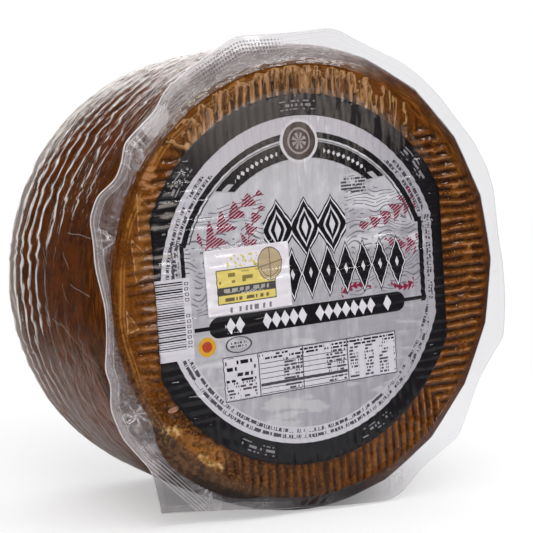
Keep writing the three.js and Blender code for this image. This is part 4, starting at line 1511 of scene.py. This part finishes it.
        finish = VacuumFilm(
            "sealed vacuum film rim", self.haze(),
            "fine * 0.4 + lump * 0.6 + crumple * (fine + lump) * 4 + star * 3",
            clear="#F9F9FA", milk="#EFE8EB", stars=self.stars,
            # shade behind it at the bottom, and a field of small pressed lozenges at the top
            dull="0.45 * ramp(-1 * z, 55, 85) * (1 - ramp(x, 0, 60)) "
            "+ 0.8 * ramp(edge, 1.5, 2.5) * (1 - ramp(edge, 7, 9)) * (1 - ramp(abs(arc - 186), 14, 25)) "
            "* (abs(fract(arc / 1.5) - 0.5) + abs(fract(edge / 1.5) - 0.5) < 0.38)",
        )
        rim.data.materials.append(finish.make(form))
        rim.data.polygons.foreach_set("use_smooth", [True] * len(rim.data.polygons))
        hand_over(rim, "film_rim")
        return rim


@dataclass
class Studio:
    """Plain pale floor, soft light and the camera at the photograph's angle."""

    form: WheelForm
    distance: float = 576.0
    azimuth: float = math.radians(30.3)
    elevation: float = math.radians(3.57)
    aim_right: float = -19.0
    aim_up: float = 5.4
    focal_pixels: float = 1406.2
    picture_pixels: float = 533.0
    floor_radius: float = 400.0
    floor_glow: float = 0.45

    def camera(self) -> None:
        """Sets up the camera."""
        sin_a, cos_a = math.sin(self.azimuth), math.cos(self.azimuth)
        sin_e, cos_e = math.sin(self.elevation), math.cos(self.elevation)
        look = Vector((cos_e * sin_a, cos_e * cos_a, -sin_e))
        right = Vector((cos_a, -sin_a, 0))
        up = Vector((sin_e * sin_a, sin_e * cos_a, cos_e))
        centre = Vector((self.form.axis_x, self.form.front_y, self.form.axis_z))
        target = centre + self.aim_right * right + self.aim_up * up
        lens = bpy.data.cameras.new("camera")
        lens.sensor_width = 36
        lens.lens = self.focal_pixels * lens.sensor_width / self.picture_pixels
        lens.clip_start = 0.01
        eye = bpy.data.objects.new("camera", lens)
        eye.location = (target - look * self.distance) * MM
        eye.rotation_mode = "QUATERNION"
        eye.rotation_quaternion = look.to_track_quat("-Z", "Y")
        bpy.context.scene.collection.objects.link(eye)
        bpy.context.scene.camera = eye

    def floor(self) -> None:
        """Lays the floor."""
        turns = np.linspace(0, 2 * math.pi, 96, endpoint=False)
        rim = np.stack([np.cos(turns), np.sin(turns), 0 * turns], 1) * self.floor_radius * MM
        mesh = bpy.data.meshes.new("floor")
        mesh.from_pydata(rim.tolist(), [], [range(len(rim))])
        material, shader = new_material("white studio floor")
        tree = material.node_tree
        place = add_node(tree, "ShaderNodeTexCoord").outputs["Object"]
        far = add_node(tree, "ShaderNodeVectorMath", {"operation": "LENGTH"}, {0: place}).outputs["Value"]
        x, y, _ = add_node(tree, "ShaderNodeSeparateXYZ", {}, {0: place}).outputs
        path = add_node(tree, "ShaderNodeLightPath").outputs
        glow = formula(tree, "camera * glow", camera=path["Is Camera Ray"], glow=self.floor_glow)
        dim = Layer(
            "glow + shine * (0.6 + 0.38 * ramp(far, 0.15, 0.36) "
            "* (1 - ramp(x / far, -0.3, -0.1) * ramp(y / far, 0.1, 0.5)))",
            "#000000",
        )
        shade = paint(tree, "#FDFDFE", (dim,), glow=glow, shine=path["Is Glossy Ray"], far=far, x=x, y=y)
        tree.links.new(shade, shader.inputs["Base Color"])
        shader.inputs["Roughness"].default_value = 0.8
        tree.links.new(glow, shader.inputs["Emission Strength"])
        shader.inputs["Emission Color"].default_value = linear("#FFFFFF")
        mesh.materials.append(material)
        floor = bpy.data.objects.new("floor", mesh)
        bpy.context.scene.collection.objects.link(floor)

    def room(self) -> None:
        """Lights the room: a white wall behind, a softbox overhead, and dark elsewhere for reflections."""
        world = bpy.data.worlds.new("studio room")
        bpy.context.scene.world = world
        world.use_nodes = True
        tree = world.node_tree
        way = add_node(tree, "ShaderNodeTexCoord").outputs["Generated"]
        x, y, z = add_node(tree, "ShaderNodeSeparateXYZ", {}, {0: way}).outputs
        wall = formula(
            tree, "ramp(x - 0.35 * ramp(z, 0.1, 0.5), -0.32, -0.2) * ramp(y, 0.15, 0.5) "
            "* (1 - ramp(x, 0.55, 0.75) * (1 - 0.6 * ramp(z, -0.1, 0.6)))", x=x, y=y, z=z,
        )
        above = formula(tree, "ramp(z, 0.6, 0.8)", z=z)
        path = add_node(tree, "ShaderNodeLightPath").outputs
        strength = formula(
            tree, "max(camera, (1 - shine) * (0.18 + 0.5 * wall + 1.1 * above) "
            "+ shine * (0.015 + 2.0 * wall + 0.6 * above))", wall=wall, above=above,
            camera=path["Is Camera Ray"], shine=path["Is Glossy Ray"],
        )
        tree.links.new(strength, tree.nodes["Background"].inputs["Strength"])
        tree.nodes["Background"].inputs["Color"].default_value = linear("#FFFFFF")

    def lamp(self, name: str, place: tuple[float, float, float], size: float, power: float) -> None:
        """Hangs a square soft light that faces the object.

        Args:
            name: its name.
            place: where it hangs, in millimetres from the wheel's middle.
            size: its side in millimetres.
            power: its power in watts.
        """
        light = bpy.data.lights.new(name, "AREA")
        light.size = size * MM
        light.energy = power
        holder = bpy.data.objects.new(name, light)
        middle = Vector((self.form.axis_x, 0, self.form.axis_z))
        holder.location = (middle + Vector(place)) * MM
        holder.rotation_mode = "QUATERNION"
        holder.rotation_quaternion = (-Vector(place)).to_track_quat("-Z", "Y")
        bpy.context.scene.collection.objects.link(holder)

    def build(self) -> None:
        """Sets up the whole stage."""
        bpy.context.scene.view_settings.view_transform = "Standard"
        self.camera()
        self.floor()
        self.room()
        self.lamp("key light", (-450, -950, 800), 900, 9.0)
        self.lamp("fill light", (500, -800, 800), 300, 2.0)


def main() -> None:
    """Builds the pieces in order, dresses them and reports each one."""
    logging.basicConfig(level=logging.INFO, format="%(message)s")
    form = WheelForm.from_frame()
    Studio(form).build()
    for part in (CheeseWheel, FaceLabel, PaperSticker, ClingingFilm, StandingRim):
        piece = part(form).build()
        log.info("%s: %d faces", piece.name, len(piece.data.polygons))


if __name__ == "__main__":
    main()
